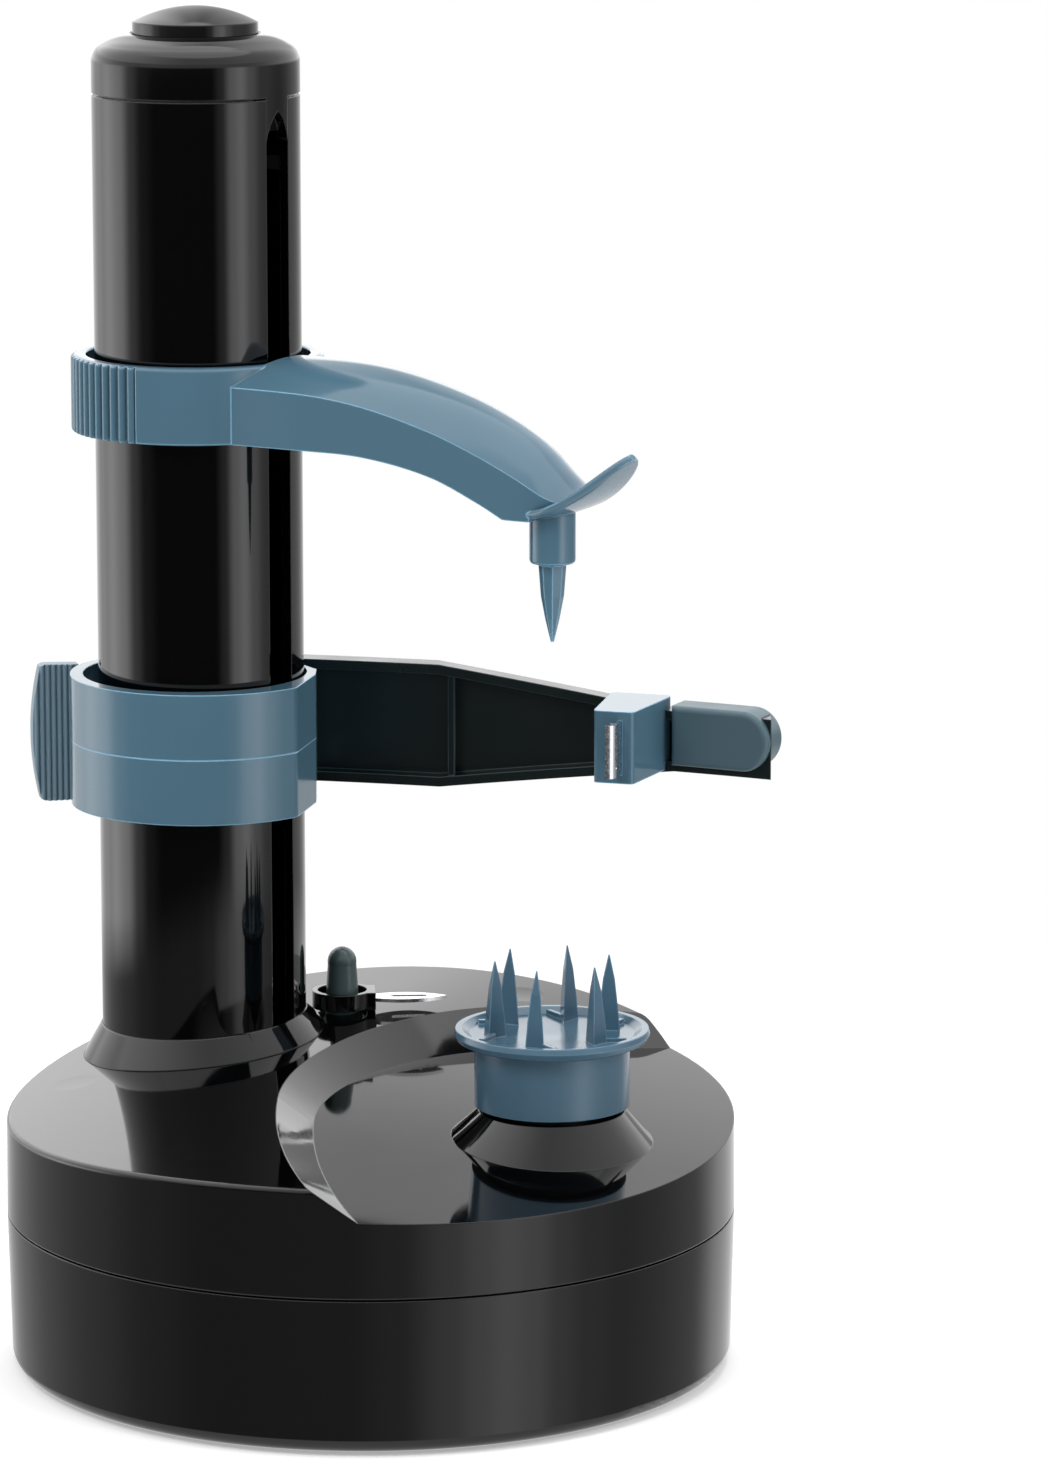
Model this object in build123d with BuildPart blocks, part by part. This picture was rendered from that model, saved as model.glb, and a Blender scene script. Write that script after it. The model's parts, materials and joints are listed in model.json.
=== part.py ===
from build123d import *
import math
import os

os.makedirs("parts", exist_ok=True)

# Electric potato peeler, millimetres, +Z up, resting on z = 0.
# The origin is the centre of the bounding box at the table: the round base reaches
# furthest to -X and the tip of the peeling arm furthest to +X.

# ---------------------------------------------------------------- driving dimensions

# base
base_radius = 79.0
base_draft = 0.8
base_foot_radius = base_radius - base_draft
base_edge_round = 3.0
base_wall = 2.4
foot_lift = 0.8
seam_height = 34.0
seam_gap = 0.5
seam_lap = 2.4
arm_reach = 89.7
base_x = (base_radius - arm_reach) / 2

# axes of the tower and of the food holder, seen from the middle of the base
column_offset = (-37.7, 35.0)
food_offset = (39.2, -21.0)
column = (base_x + column_offset[0], column_offset[1])
food = (base_x + food_offset[0], food_offset[1])
span_x = food[0] - column[0]
span_y = food[1] - column[1]
span = math.hypot(span_x, span_y)
slot_angle = math.degrees(math.atan2(span_y, span_x))

# crowned deck
deck_height = 63.1
deck_crown_radius = 376.0
deck_crown_shift = 3.5
deck_heading = 78.4
deck_pitch = 4.1
deck_rim_round = 1.0
above_deck = deck_height * 1.3
through = 2 * base_radius

# peel dish: two tangent arcs that widen with height, over a flat floor that falls to the front
dish_centre_offset = (48.1, -24.4)
dish_level = 52.0
dish_radius = 54.9
dish_side_radius = 184.4
dish_back_edge = 101.0
dish_join = 173.4
dish_front_edge = 200.0
dish_wall_slope = 54.3
dish_depth = 12.0
dish_height = 32.0
dish_floor = 56.9
dish_floor_heading = 116.0
dish_floor_pitch = 5.2

# splash cone
cone_foot_radius = 21.6
cone_shoulder_radius = 15.7
cone_shoulder_height = 60.1
cone_neck_radius = 13.0
cone_top = 64.0

# tower
column_radius = 22.6
column_wall = 2.3
column_foot = 52.0
column_top = 271.8
slot_width = 7.5
slot_top = 269.3
slot_point = 6.7
key_play = 0.04
flare_radius = 27.7
flare_level = 61.0
flare_height = 8.6
flare_sink = 6.0
flare_slant = 0.72
flare_tilt = (2.8, 6.8)
socket_wall = 2.5
socket_ledge = 2.5
cap_gap = 0.4
cap_shoulder = column_top + 7.4
cap_crest = cap_shoulder + 3.6
cap_crest_radius = 20.4
cap_top = cap_shoulder + 5.7
cap_hole_radius = 14.0
cap_wall = 2.2
cap_spigot = 7.0

# start button
button_radius = 13.65
button_rim = cap_top + 2.6
button_top = button_rim + 3.5
button_foot = button_rim - 9.8
button_skin = 1.4
button_flange = 2.4
button_flange_height = 1.6
button_wall = 1.8
button_travel = 3.0

# lead screw and its bearings
screw_radius = 5.0
screw_core = 4.1
screw_lead = 3.3
screw_journal = 3.0
screw_thread_bottom = 74.0
screw_thread_top = 190.0
bearing_plate_bottom = column_top - 15.8
bearing_plate_thickness = 3.0
bearing_plate_notch = 12.0
running = 0.05
bush_radius = 4.6
bush_flange = 1.2
bush_rim = 1.0

# gear train
plate_bottom = 29.0
plate_thickness = 2.0
gear_gap = 0.5
gear_face = 3.6
fine_module = 0.8
coarse_module = 1.0
pinion_teeth = 10
wheel_teeth = 48
small_teeth = 12
spindle_teeth = 40
idler_teeth = 56
screw_teeth = 40
pin_radius = 1.5
motor_radius = 10.0
motor_flat = 15.4
motor_length = 16.0
motor_cap_length = 4.5
motor_shaft_radius = 1.0
motor_boss_radius = 3.0
terminal_reach = 6.4

# battery bay
cell_radius = 7.25
cell_length = 50.5
cell_pitch = 15.0
cell_count = 4
bay_offset = (10.0, -28.0)
bay_length = 57.0
bay_height = 16.3
bay_wall = 1.8
door_thickness = 2.0
door_ledge = 2.0
door_gap = 0.3

# wiring
board_offset = (-52.0, -6.0)
board_length = 22.0
board_width = 15.0
board_lift = 2.0
board_thickness = 1.6
cable_radius = 1.2
lead_radius = 0.6
cable_side = 200.0
cable_reach = 17.0
cable_base_reach = 25.5

# carriage
carriage_bottom = 116.1
carriage_height = 28.7
carriage_radius = 28.8
carriage_bore = 24.6
carriage_bore_shift = -1.4
carriage_lip = 23.0
carriage_corner = (21.4, -20.0)
carriage_side = (25.2, -3.0)
carriage_back = (13.2, 24.2)
carriage_back_tab = ((-15.2, 28.8), (-33.2, 0.0))
carriage_corner_round = 3.0
lip_height = 4.0
lip_inset = 5.0
ear_height = 5.0
pivot_distance = 37.5
pivot_radius = 2.0
hub_radius = 4.5
nut_width = 5.6
nut_height = 13.0
nut_back = 24.2
nut_room = 1.3

# peeling arm
arm_bottom = 115.1
arm_height = 27.7
arm_depth = 5.5
arm_web = 1.8
arm_flange = 2.2
tip_height = 13.4
tip_depth = 9.0
tip_length = 20.0
tip_edge = 1.2
tab_bottom = 112.0
tab_height = 31.0
tab_width = 10.5
tab_thickness = 3.2

# top holder
collar_bottom = 198.8
collar_height = 16.7
collar_radius = 27.4
collar_bore = 24.4
collar_lip = 23.0
collar_lip_height = 3.0
rib_count = 18
rib_pitch = 5.1
rib_start = 153.6
rib_depth = 0.9
boss_radius = 4.9
boss_bottom = 178.3
spike_radius = 2.95
spike_tip = 161.5

# food holder
cup_bottom = 61.3
cup_radius = 16.6
flange_bottom = 74.6
flange_top = 78.0
flange_radius = 20.9
prong_count = 6
prong_circle = 12.6
prong_height = 17.0
prong_phase = 15.0
spindle_radius = 3.0

# thumb knife on its post
post_offset = (-7.4, 45.0)
post_radius = 3.85
post_top_radius = 3.2
post_top = 80.6
knife_ring_radius = 6.7
knife_ring_bore = 5.5
knife_ring_height = 3.8
knife_ring_bottom = 67.0


# ---------------------------------------------------------------- helpers

def shifted(offset, dx=0.0, dy=0.0):
    """A place given from the middle of the base."""
    return (base_x + offset[0] + dx, offset[1] + dy)


def polar(centre, distance, angle):
    """The place at a distance and an angle in degrees from a centre."""
    turn_by = math.radians(angle)
    return (centre[0] + distance * math.cos(turn_by), centre[1] + distance * math.sin(turn_by))


def upright(centre):
    """An upright plane through a centre: sketch x is +X and sketch y is +Z."""
    return Plane(origin=(centre[0], centre[1], 0), x_dir=(1, 0, 0), z_dir=(0, -1, 0))


def level(centre, height, angle=0.0):
    """A level plane at a height, with its x axis turned by an angle."""
    turn_by = math.radians(angle)
    along = (math.cos(turn_by), math.sin(turn_by), 0)
    return Plane(origin=(centre[0], centre[1], height), x_dir=along, z_dir=(0, 0, 1))


def turn(points, centre, mode=Mode.ADD):
    """Revolve a closed (radius, height) outline about the upright axis at a centre."""
    with BuildSketch(upright(centre)) as outline:
        with BuildLine():
            Polyline(*points, close=True)
        make_face()
    axis = Axis((centre[0], centre[1], 0), (0, 0, 1))
    revolve(outline.sketch.faces(), axis=axis, mode=mode)


def disc(centre, radius, bottom, top, mode=Mode.ADD):
    """An upright cylinder between two heights."""
    with BuildSketch(level(centre, bottom)) as outline:
        Circle(radius)
    extrude(outline.sketch, amount=top - bottom, mode=mode)


def ring(centre, outer, inner, bottom, top, mode=Mode.ADD):
    """An upright tube between two heights."""
    with BuildSketch(level(centre, bottom)) as outline:
        Circle(outer)
        Circle(inner, mode=Mode.SUBTRACT)
    extrude(outline.sketch, amount=top - bottom, mode=mode)


def slab(plane, along, across, height, mode=Mode.ADD):
    """A block on a level plane, from a (start, end) along its x and a (start, end) along its y."""
    with BuildSketch(plane) as outline:
        with Locations(((along[0] + along[1]) / 2, (across[0] + across[1]) / 2)):
            Rectangle(along[1] - along[0], across[1] - across[0])
    extrude(outline.sketch, amount=height, mode=mode)


def finish(piece, name):
    """Label a finished piece and write it."""
    piece.part.label = name
    export_step(piece.part, f"parts/{name}.step")


def deck_block(inset=0.0):
    """Everything below the crowned deck, or below a surface that lies an inset under it."""
    heading = math.radians(deck_heading)
    pitch = math.radians(deck_pitch)
    along = (
        math.cos(heading) * math.cos(pitch),
        math.sin(heading) * math.cos(pitch),
        math.sin(pitch),
    )
    across = (-math.sin(heading), math.cos(heading), 0)
    section = Plane(origin=(base_x, 0, deck_height), x_dir=across, z_dir=along)
    half_width = base_radius * 1.2
    with BuildPart() as block:
        with BuildSketch(section):
            with Locations((deck_crown_shift, -deck_crown_radius)):
                Circle(deck_crown_radius - inset)
            with Locations((0, 0)):
                Rectangle(2 * half_width, deck_height * 2.4, mode=Mode.INTERSECT)
        extrude(amount=base_radius * 1.4, both=True)
    return block.part


def floor_plane(drop=0.0):
    """The tilted plane of the dish floor, or of a surface that lies a drop under it."""
    heading = math.radians(dish_floor_heading)
    pitch = math.radians(dish_floor_pitch)
    normal = (
        -math.cos(heading) * math.sin(pitch),
        -math.sin(heading) * math.sin(pitch),
        math.cos(pitch),
    )
    level_x = (normal[2], 0, -normal[0])
    return Plane(origin=(base_x, 0, dish_floor), x_dir=level_x, z_dir=normal).offset(-drop)


def dish_block(grow=0.0):
    """The space of the peel dish above its floor, grown for the inside of the shell."""
    slope = math.radians(dish_wall_slope)
    change = grow / math.cos(slope) - dish_depth * math.tan(slope)
    centre = shifted(dish_centre_offset)
    radius = dish_radius + change
    side_radius = dish_side_radius + change
    side_centre = polar(centre, dish_side_radius - dish_radius, dish_join - 180)
    back = polar(centre, radius, dish_back_edge)
    curve = polar(centre, radius, (dish_back_edge + dish_join) / 2)
    join = polar(centre, radius, dish_join)
    side = polar(side_centre, side_radius, (dish_join + dish_front_edge) / 2)
    front = polar(side_centre, side_radius, dish_front_edge)
    back_end = polar(back, through, dish_back_edge - 90)
    with BuildPart() as space:
        with BuildSketch(Plane.XY.offset(dish_level - dish_depth)):
            with BuildLine():
                ThreePointArc(back, curve, join)
                ThreePointArc(join, side, front)
                Polyline(front, (back_end[0], front[1]), back_end, back)
            make_face()
        extrude(amount=dish_height, taper=-dish_wall_slope)
        with BuildSketch(floor_plane(grow)):
            Rectangle(2 * through, 2 * through)
        extrude(amount=-through, mode=Mode.SUBTRACT)
    return space.part


def cover_block(inset=0.0):
    """The outer form of the base cover, or its inside form at an inset."""
    bottom = seam_height + seam_gap / 2
    top = above_deck
    with BuildPart() as block:
        outline = [
            (0, bottom - inset),
            (base_radius - inset, bottom - inset),
            (base_radius - 0.4 - inset, top),
            (0, top),
        ]
        turn(outline, (base_x, 0))
        add(deck_block(inset), mode=Mode.INTERSECT)
        if inset == 0.0:
            rim = block.edges().group_by(Axis.Z)[1:]
            fillet([edge for group in rim for edge in group], deck_rim_round)
        add(dish_block(inset), mode=Mode.SUBTRACT)
    return block.part


def splash_cone(inset=0.0):
    """The cone round the spindle, from the tilted floor to its level neck, or its hollow."""
    plane = floor_plane()
    drop = (food[0] - base_x) * plane.z_dir.X + food[1] * plane.z_dir.Y
    foot_height = dish_floor - drop / plane.z_dir.Z
    foot = Plane(origin=(food[0], food[1], foot_height), x_dir=plane.x_dir, z_dir=plane.z_dir)
    shoulder = cone_shoulder_height - inset
    with BuildPart() as cone:
        with BuildSketch(foot):
            Circle(cone_foot_radius - inset)
        with BuildSketch(level(food, shoulder)):
            Circle(cone_shoulder_radius - inset / 2)
        loft()
        with BuildSketch(foot):
            Circle(cone_foot_radius - inset)
        extrude(amount=-(base_wall + inset))
        disc(food, cone_neck_radius - inset, foot_height, cone_top - inset)
    return cone.part


def wire(points, radius, bend):
    """A round lead along a route with rounded corners."""
    with BuildLine() as route:
        FilletPolyline(*points, radius=bend)
    start = Plane(origin=route.line @ 0, z_dir=route.line % 0)
    with BuildSketch(start) as section:
        Circle(radius)
    sweep(section.sketch, path=route.line)


def gear_wheel(teeth, module, centre, bottom, height, bore, phase):
    """A spur gear with straight-flanked teeth, one tooth centred on the phase angle."""
    pitch_radius = teeth * module / 2
    root = pitch_radius - 1.2 * module
    tip = pitch_radius + 0.9 * module
    circular_pitch = math.pi * module
    with BuildSketch(level(centre, bottom, phase)) as outline:
        Circle(root)
        with PolarLocations(0, teeth):
            with BuildLine():
                Polyline(
                    (root - 0.3 * module, 0.30 * circular_pitch),
                    (tip, 0.11 * circular_pitch),
                    (tip, -0.11 * circular_pitch),
                    (root - 0.3 * module, -0.30 * circular_pitch),
                    close=True,
                )
            make_face()
        Circle(bore, mode=Mode.SUBTRACT)
    extrude(outline.sketch, amount=height)


def meshing_phase(angle, driver_phase, driver_teeth, teeth):
    """The phase of a gear that meshes with a driver which lies opposite the given angle."""
    return angle + 180 - 180 / teeth + (angle - driver_phase) * driver_teeth / teeth


def coil_spring(centre, bottom, height, radius, wire, turns):
    """A round-wire compression spring on an upright axis."""
    pitch = (height - 2 * wire) / turns
    start = (centre[0] + radius, centre[1], bottom + wire)
    with BuildLine(Plane(origin=(centre[0], centre[1], bottom + wire))) as path:
        Helix(pitch=pitch, height=pitch * turns, radius=radius)
    with BuildSketch(Plane(origin=start, x_dir=(1, 0, 0), z_dir=(0, 1, 0))) as section:
        Circle(wire)
    sweep(section.sketch, path=path.line, is_frenet=True)


# ---------------------------------------------------------------- gear train layout

wheel_reach = (small_teeth + wheel_teeth) * fine_module / 2
pinion_reach = (pinion_teeth + wheel_teeth) * fine_module / 2
last_reach = (small_teeth + idler_teeth) * coarse_module / 2
idler_reach = (spindle_teeth + idler_teeth) * coarse_module / 2
idler_bend = math.degrees(math.acos(span / 2 / idler_reach))
idler = polar(column, idler_reach, slot_angle + idler_bend)
gear_b_angle = 222.0
gear_a_angle = 180.0
motor_angle = 285.0
gear_b = polar(idler, last_reach, gear_b_angle)
gear_a = polar(gear_b, wheel_reach, gear_a_angle)
motor = polar(gear_a, pinion_reach, motor_angle)

plate_top = plate_bottom + plate_thickness
shaft_foot = plate_bottom - 1.5
first_level = plate_top + gear_gap + 0.3
second_level = first_level + gear_face + gear_gap
third_level = second_level + gear_face + gear_gap

idler_from_spindle = math.degrees(math.atan2(idler[1] - food[1], idler[0] - food[0]))
screw_from_idler = math.degrees(math.atan2(column[1] - idler[1], column[0] - idler[0]))
spindle_phase = idler_from_spindle
idler_phase = meshing_phase(idler_from_spindle, spindle_phase, spindle_teeth, idler_teeth)
screw_phase = meshing_phase(screw_from_idler, idler_phase, idler_teeth, screw_teeth)
gear_b_small_phase = meshing_phase(gear_b_angle, idler_phase, idler_teeth, small_teeth)
gear_b_phase = 0.0
gear_a_small_phase = meshing_phase(gear_a_angle, gear_b_phase, wheel_teeth, small_teeth)
gear_a_phase = 0.0
pinion_phase = meshing_phase(motor_angle, gear_a_phase, wheel_teeth, pinion_teeth)

# ---------------------------------------------------------------- base

bay = shifted(bay_offset)
bay_width = cell_count * cell_pitch
bay_roof = door_thickness + foot_lift + bay_height
cover_post_reach = base_radius - 13.0
cover_post_places = [
    polar((base_x, 0), cover_post_reach, 60),
    polar((base_x, 0), cover_post_reach, 170),
    polar((base_x, 0), cover_post_reach, 240),
    polar((base_x, 0), cover_post_reach + 2.0, 350),
]
cover_post_radius = 5.0
cover_post_top = seam_height - 2.8
screw_head_radius = 2.9
screw_head_height = 1.8
screw_shank_radius = 1.25
screw_head_seat = 12.0
screw_bite = 11.0
stand_places = [
    (column[0] - 13.5, column[1]),
    (idler[0] + 13.4, idler[1] + 9.7),
    (food[0] + 9.0, food[1] + 5.0),
    (motor[0] + 11.2, motor[1] - 11.1),
]
stand_radius = 3.0
board_centre = shifted(board_offset)
board_stand = foot_lift + base_wall + board_lift
board_face = board_stand + board_thickness
board_stand_places = [(board_centre[0], board_centre[1] + side) for side in (-7.5, 7.5)]
foot_places = [polar((base_x, 0), base_radius - 11.0, angle) for angle in (35, 145, 215, 325)]
foot_radius = 6.0
foot_height = 1.6

with BuildPart() as base_tub:
    wall_inside = base_radius - base_wall
    tub_top = seam_height - seam_gap / 2
    tongue = wall_inside + base_wall / 2 - 0.1
    turn(
        [
            (0, foot_lift),
            (base_foot_radius, foot_lift),
            (base_radius, tub_top),
            (tongue, tub_top),
            (tongue, tub_top + seam_lap),
            (wall_inside, tub_top + seam_lap),
            (wall_inside, foot_lift + base_wall),
            (0, foot_lift + base_wall),
        ],
        (base_x, 0),
    )
    fillet(base_tub.edges().sort_by(Axis.Z)[0], base_edge_round)
    with BuildSketch(level(bay, foot_lift)):
        Rectangle(bay_length + 2 * bay_wall, bay_width + 2 * bay_wall)
    extrude(amount=bay_roof + bay_wall - foot_lift)
    for place in cover_post_places:
        disc(place, cover_post_radius, foot_lift, cover_post_top)
    for place in stand_places:
        disc(place, stand_radius, foot_lift + 1, plate_bottom)
    for place in board_stand_places:
        disc(place, stand_radius, foot_lift + 1, board_stand)
    with BuildSketch(level(bay, 0)):
        Rectangle(bay_length, bay_width)
    extrude(amount=bay_roof, mode=Mode.SUBTRACT)
    with BuildSketch(level(bay, 0)):
        Rectangle(bay_length + 2 * door_ledge, bay_width + 2 * door_ledge)
    extrude(amount=foot_lift + door_thickness, mode=Mode.SUBTRACT)
    for place in cover_post_places:
        disc(place, screw_head_radius + 0.3, 0, screw_head_seat, Mode.SUBTRACT)
        disc(place, screw_shank_radius + 0.3, 0, cover_post_top, Mode.SUBTRACT)
    for place in foot_places:
        disc(place, foot_radius, 0, foot_height, Mode.SUBTRACT)
finish(base_tub, "base_tub")

with BuildPart() as base_cover:
    add(cover_block())
    add(cover_block(base_wall), mode=Mode.SUBTRACT)
    # rebate for the tub's tongue
    disc((base_x, 0), tongue + 0.2, seam_height, seam_height + seam_lap + 0.3, Mode.SUBTRACT)
    # socket that holds the foot of the tower
    with BuildPart(mode=Mode.PRIVATE) as socket:
        disc(column, column_radius + socket_wall, column_foot - socket_ledge, above_deck)
        for place in cover_post_places:
            disc(place, cover_post_radius, cover_post_top + 0.1, above_deck)
        add(deck_block(), mode=Mode.INTERSECT)
        add(dish_block(), mode=Mode.SUBTRACT)
    add(socket.part)
    add(splash_cone())
    add(splash_cone(base_wall), mode=Mode.SUBTRACT)
    disc(food, bush_radius, cone_top - base_wall - 1, cone_top + 1, Mode.SUBTRACT)
    disc(column, column_radius + 0.05, column_foot, above_deck, Mode.SUBTRACT)
    disc(column, column_radius - column_wall - 1, seam_height + 6, column_foot + 1, Mode.SUBTRACT)
    for place in cover_post_places:
        hole_top = cover_post_top + screw_bite + 1
        disc(place, screw_shank_radius, cover_post_top - 1, hole_top, Mode.SUBTRACT)
finish(base_cover, "base_cover")

with BuildPart() as battery_door:
    with BuildSketch(level(bay, foot_lift + 0.1)):
        width = bay_width + 2 * door_ledge - 2 * door_gap
        length = bay_length + 2 * door_ledge - 2 * door_gap
        Rectangle(length, width)
    extrude(amount=door_thickness - 0.2)
    with BuildSketch(level((bay[0], bay[1] - bay_width / 2 + 4), foot_lift + 0.1)):
        SlotOverall(16, 5)
    extrude(amount=0.8, mode=Mode.SUBTRACT)
finish(battery_door, "battery_door")

cell_height = bay_roof - 0.5 - cell_radius
nub_radius = 2.7
nub_length = 1.0
contact_thickness = 0.4
for index in range(cell_count):
    side = 1 if index % 2 == 0 else -1
    row = bay[1] + (index - (cell_count - 1) / 2) * cell_pitch
    plus_end = bay[0] + side * (bay_length / 2 - contact_thickness - 0.1)
    axis_plane = Plane(
        origin=(plus_end - side * cell_length, row, cell_height), x_dir=(0, 1, 0), z_dir=(side, 0, 0)
    )
    with BuildPart() as cell:
        with BuildSketch(axis_plane):
            Circle(cell_radius)
        extrude(amount=cell_length - nub_length)
        chamfer(cell.edges().filter_by(GeomType.CIRCLE), 0.5)
        with BuildSketch(axis_plane.offset(cell_length - nub_length)):
            Circle(nub_radius)
        extrude(amount=nub_length)
    finish(cell, f"battery_cell_{index + 1}")

with BuildPart() as battery_contacts:
    for index in range(cell_count):
        side = 1 if index % 2 == 0 else -1
        row = bay[1] + (index - (cell_count - 1) / 2) * cell_pitch
        plus_wall = bay[0] + side * bay_length / 2
        minus_wall = bay[0] - side * bay_length / 2
        gap = bay_length - cell_length - contact_thickness - 0.1
        with Locations((plus_wall - side * contact_thickness / 2, row, cell_height)):
            Box(contact_thickness, 9, 9)
        # bowed leaf that presses on the flat end of the cell
        leaf_origin = (minus_wall, row - 3, cell_height)
        with BuildSketch(Plane(origin=leaf_origin, x_dir=(side, 0, 0), z_dir=(0, 1, 0))):
            with BuildLine():
                ThreePointArc((0, -5), (gap, 0), (0, 5))
                Line((0, 5), (0, 4.2))
                ThreePointArc((0, 4.2), (gap - contact_thickness, 0), (0, -4.2))
                Line((0, -4.2), (0, -5))
            make_face()
        extrude(amount=6)
finish(battery_contacts, "battery_contacts")

with BuildPart() as rubber_feet:
    for place in foot_places:
        disc(place, foot_radius - 0.1, 0, foot_height)
    chamfer(rubber_feet.faces().filter_by(Axis.Z).sort_by(Axis.Z)[:4].edges(), 0.4)
finish(rubber_feet, "rubber_feet")

with BuildPart() as cover_screws:
    for place in cover_post_places:
        disc(place, screw_head_radius, screw_head_seat - screw_head_height, screw_head_seat)
        disc(place, screw_shank_radius, screw_head_seat, cover_post_top + screw_bite)
finish(cover_screws, "cover_screws")

# ---------------------------------------------------------------- drive

with BuildPart() as gear_plate:
    with BuildSketch(Plane.XY.offset(plate_bottom)):
        with BuildSketch(mode=Mode.PRIVATE) as rounds:
            for place, radius in (
                (column, 19.0),
                (idler, 20.0),
                (food, 14.0),
                (motor, 19.0),
                (gear_a, 8.0),
            ):
                with Locations(place):
                    Circle(radius)
        make_hull(rounds.sketch.edges())
    extrude(amount=plate_thickness)
    disc(column, bush_radius, 0, through, Mode.SUBTRACT)
    disc(food, bush_radius, 0, through, Mode.SUBTRACT)
    disc(motor, motor_boss_radius, 0, through, Mode.SUBTRACT)
    for place in (gear_a, gear_b, idler):
        disc(place, pin_radius, 0, through, Mode.SUBTRACT)
    for place in stand_places:
        disc(place, 1.3, 0, through, Mode.SUBTRACT)
finish(gear_plate, "gear_plate")

with BuildPart() as plate_screws:
    for place in stand_places:
        disc(place, 1.2, plate_bottom, plate_top)
        disc(place, 2.4, plate_top, plate_top + 1.4)
finish(plate_screws, "plate_screws")

motor_top = plate_bottom
with BuildPart() as motor_can:
    with BuildSketch(level(motor, motor_top - motor_length)):
        Circle(motor_radius)
        Rectangle(2 * motor_radius, motor_flat, mode=Mode.INTERSECT)
    extrude(amount=motor_length)
    disc(motor, motor_boss_radius, motor_top, motor_top + 1.5)
    disc(motor, motor_shaft_radius + running, 0, through, Mode.SUBTRACT)
finish(motor_can, "motor_can")

motor_foot = motor_top - motor_length - motor_cap_length
terminal_foot = motor_foot - 1.6
with BuildPart() as motor_end_cap:
    with BuildSketch(level(motor, motor_foot)):
        Circle(motor_radius - 0.2)
        Rectangle(2 * motor_radius, motor_flat - 0.4, mode=Mode.INTERSECT)
    extrude(amount=motor_cap_length)
    disc(motor, motor_shaft_radius + running, 0, through, Mode.SUBTRACT)
    for side in (-terminal_reach, terminal_reach):
        terminal = level((motor[0] + side, motor[1]), terminal_foot)
        slab(terminal, (-0.3, 0.3), (-1.0, 1.0), 1.8)
finish(motor_end_cap, "motor_end_cap")

with BuildPart() as motor_shaft:
    disc(motor, motor_shaft_radius, motor_foot + 1, first_level + gear_face + 0.4)
finish(motor_shaft, "motor_shaft")

with BuildPart() as motor_pinion:
    gear_wheel(
        pinion_teeth, fine_module, motor, first_level, gear_face, motor_shaft_radius, pinion_phase
    )
finish(motor_pinion, "motor_pinion")

small_height = gear_gap + gear_face + 0.3
with BuildPart() as reduction_gear_a:
    gear_wheel(
        wheel_teeth, fine_module, gear_a, first_level, gear_face, pin_radius + running, gear_a_phase
    )
    gear_wheel(
        small_teeth,
        fine_module,
        gear_a,
        first_level + gear_face,
        small_height,
        pin_radius + running,
        gear_a_small_phase,
    )
finish(reduction_gear_a, "reduction_gear_a")

with BuildPart() as reduction_gear_b:
    gear_wheel(
        wheel_teeth, fine_module, gear_b, second_level, gear_face, pin_radius + running, gear_b_phase
    )
    gear_wheel(
        small_teeth,
        coarse_module,
        gear_b,
        second_level + gear_face,
        small_height,
        pin_radius + running,
        gear_b_small_phase,
    )
finish(reduction_gear_b, "reduction_gear_b")

with BuildPart() as idler_gear:
    gear_wheel(
        idler_teeth, coarse_module, idler, third_level, gear_face, pin_radius + running, idler_phase
    )
    web_depth = 0.9
    for bottom in (third_level, third_level + gear_face - web_depth):
        with BuildSketch(level(idler, bottom)):
            Circle(idler_teeth * coarse_module / 2 - 4)
            Circle(5, mode=Mode.SUBTRACT)
        extrude(amount=web_depth, mode=Mode.SUBTRACT)
    disc(idler, 4, second_level - 1, third_level)
    disc(idler, pin_radius + running, 0, through, Mode.SUBTRACT)
finish(idler_gear, "idler_gear")

with BuildPart() as gear_pins:
    for place, top in (
        (gear_a, second_level + gear_face + 0.6),
        (gear_b, third_level + gear_face + 0.6),
        (idler, third_level + gear_face + 0.3),
    ):
        disc(place, pin_radius, plate_bottom, top)
        disc(place, pin_radius + 1.2, top, top + 0.8)
    disc(gear_a, pin_radius + 1.2, plate_top, first_level - 0.2)
    disc(gear_b, pin_radius + 1.2, plate_top, second_level - 0.2)
    disc(idler, pin_radius + 1.2, plate_top, second_level - 1.2)
finish(gear_pins, "gear_pins")

with BuildPart() as spindle_gear:
    gear_wheel(
        spindle_teeth, coarse_module, food, third_level, gear_face, spindle_radius, spindle_phase
    )
    disc(food, 6, third_level - 1.5, third_level + gear_face + 1.5)
    disc(food, spindle_radius, 0, through, Mode.SUBTRACT)
finish(spindle_gear, "spindle_gear")

with BuildPart() as screw_gear:
    gear_wheel(
        screw_teeth, coarse_module, column, third_level, gear_face, screw_journal, screw_phase
    )
    disc(column, 6, third_level - 1.5, third_level + gear_face + 1.5)
    disc(column, screw_journal, 0, through, Mode.SUBTRACT)
finish(screw_gear, "screw_gear")

for name, place in (("spindle_bush", food), ("screw_bush", column)):
    with BuildPart() as bush:
        disc(place, bush_radius, shaft_foot, plate_top)
        disc(place, bush_radius + bush_flange, plate_top, plate_top + bush_rim)
        disc(place, screw_journal + running, 0, through, Mode.SUBTRACT)
    finish(bush, name)

socket_depth = 9.0
with BuildPart() as spindle:
    disc(food, spindle_radius, shaft_foot, cup_bottom + 4)
    with BuildSketch(level(food, cup_bottom + 4)):
        RegularPolygon(spindle_radius, 6)
    extrude(amount=socket_depth)
finish(spindle, "spindle")

with BuildPart() as cone_bush:
    cone_roof = cone_top - base_wall
    disc(food, bush_radius, cone_roof, cone_top)
    disc(food, bush_radius + bush_flange, cone_roof - bush_rim, cone_roof)
    disc(food, spindle_radius + running, 0, through, Mode.SUBTRACT)
finish(cone_bush, "cone_bush")

# ---------------------------------------------------------------- food holder

cup_wall = 1.8
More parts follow.
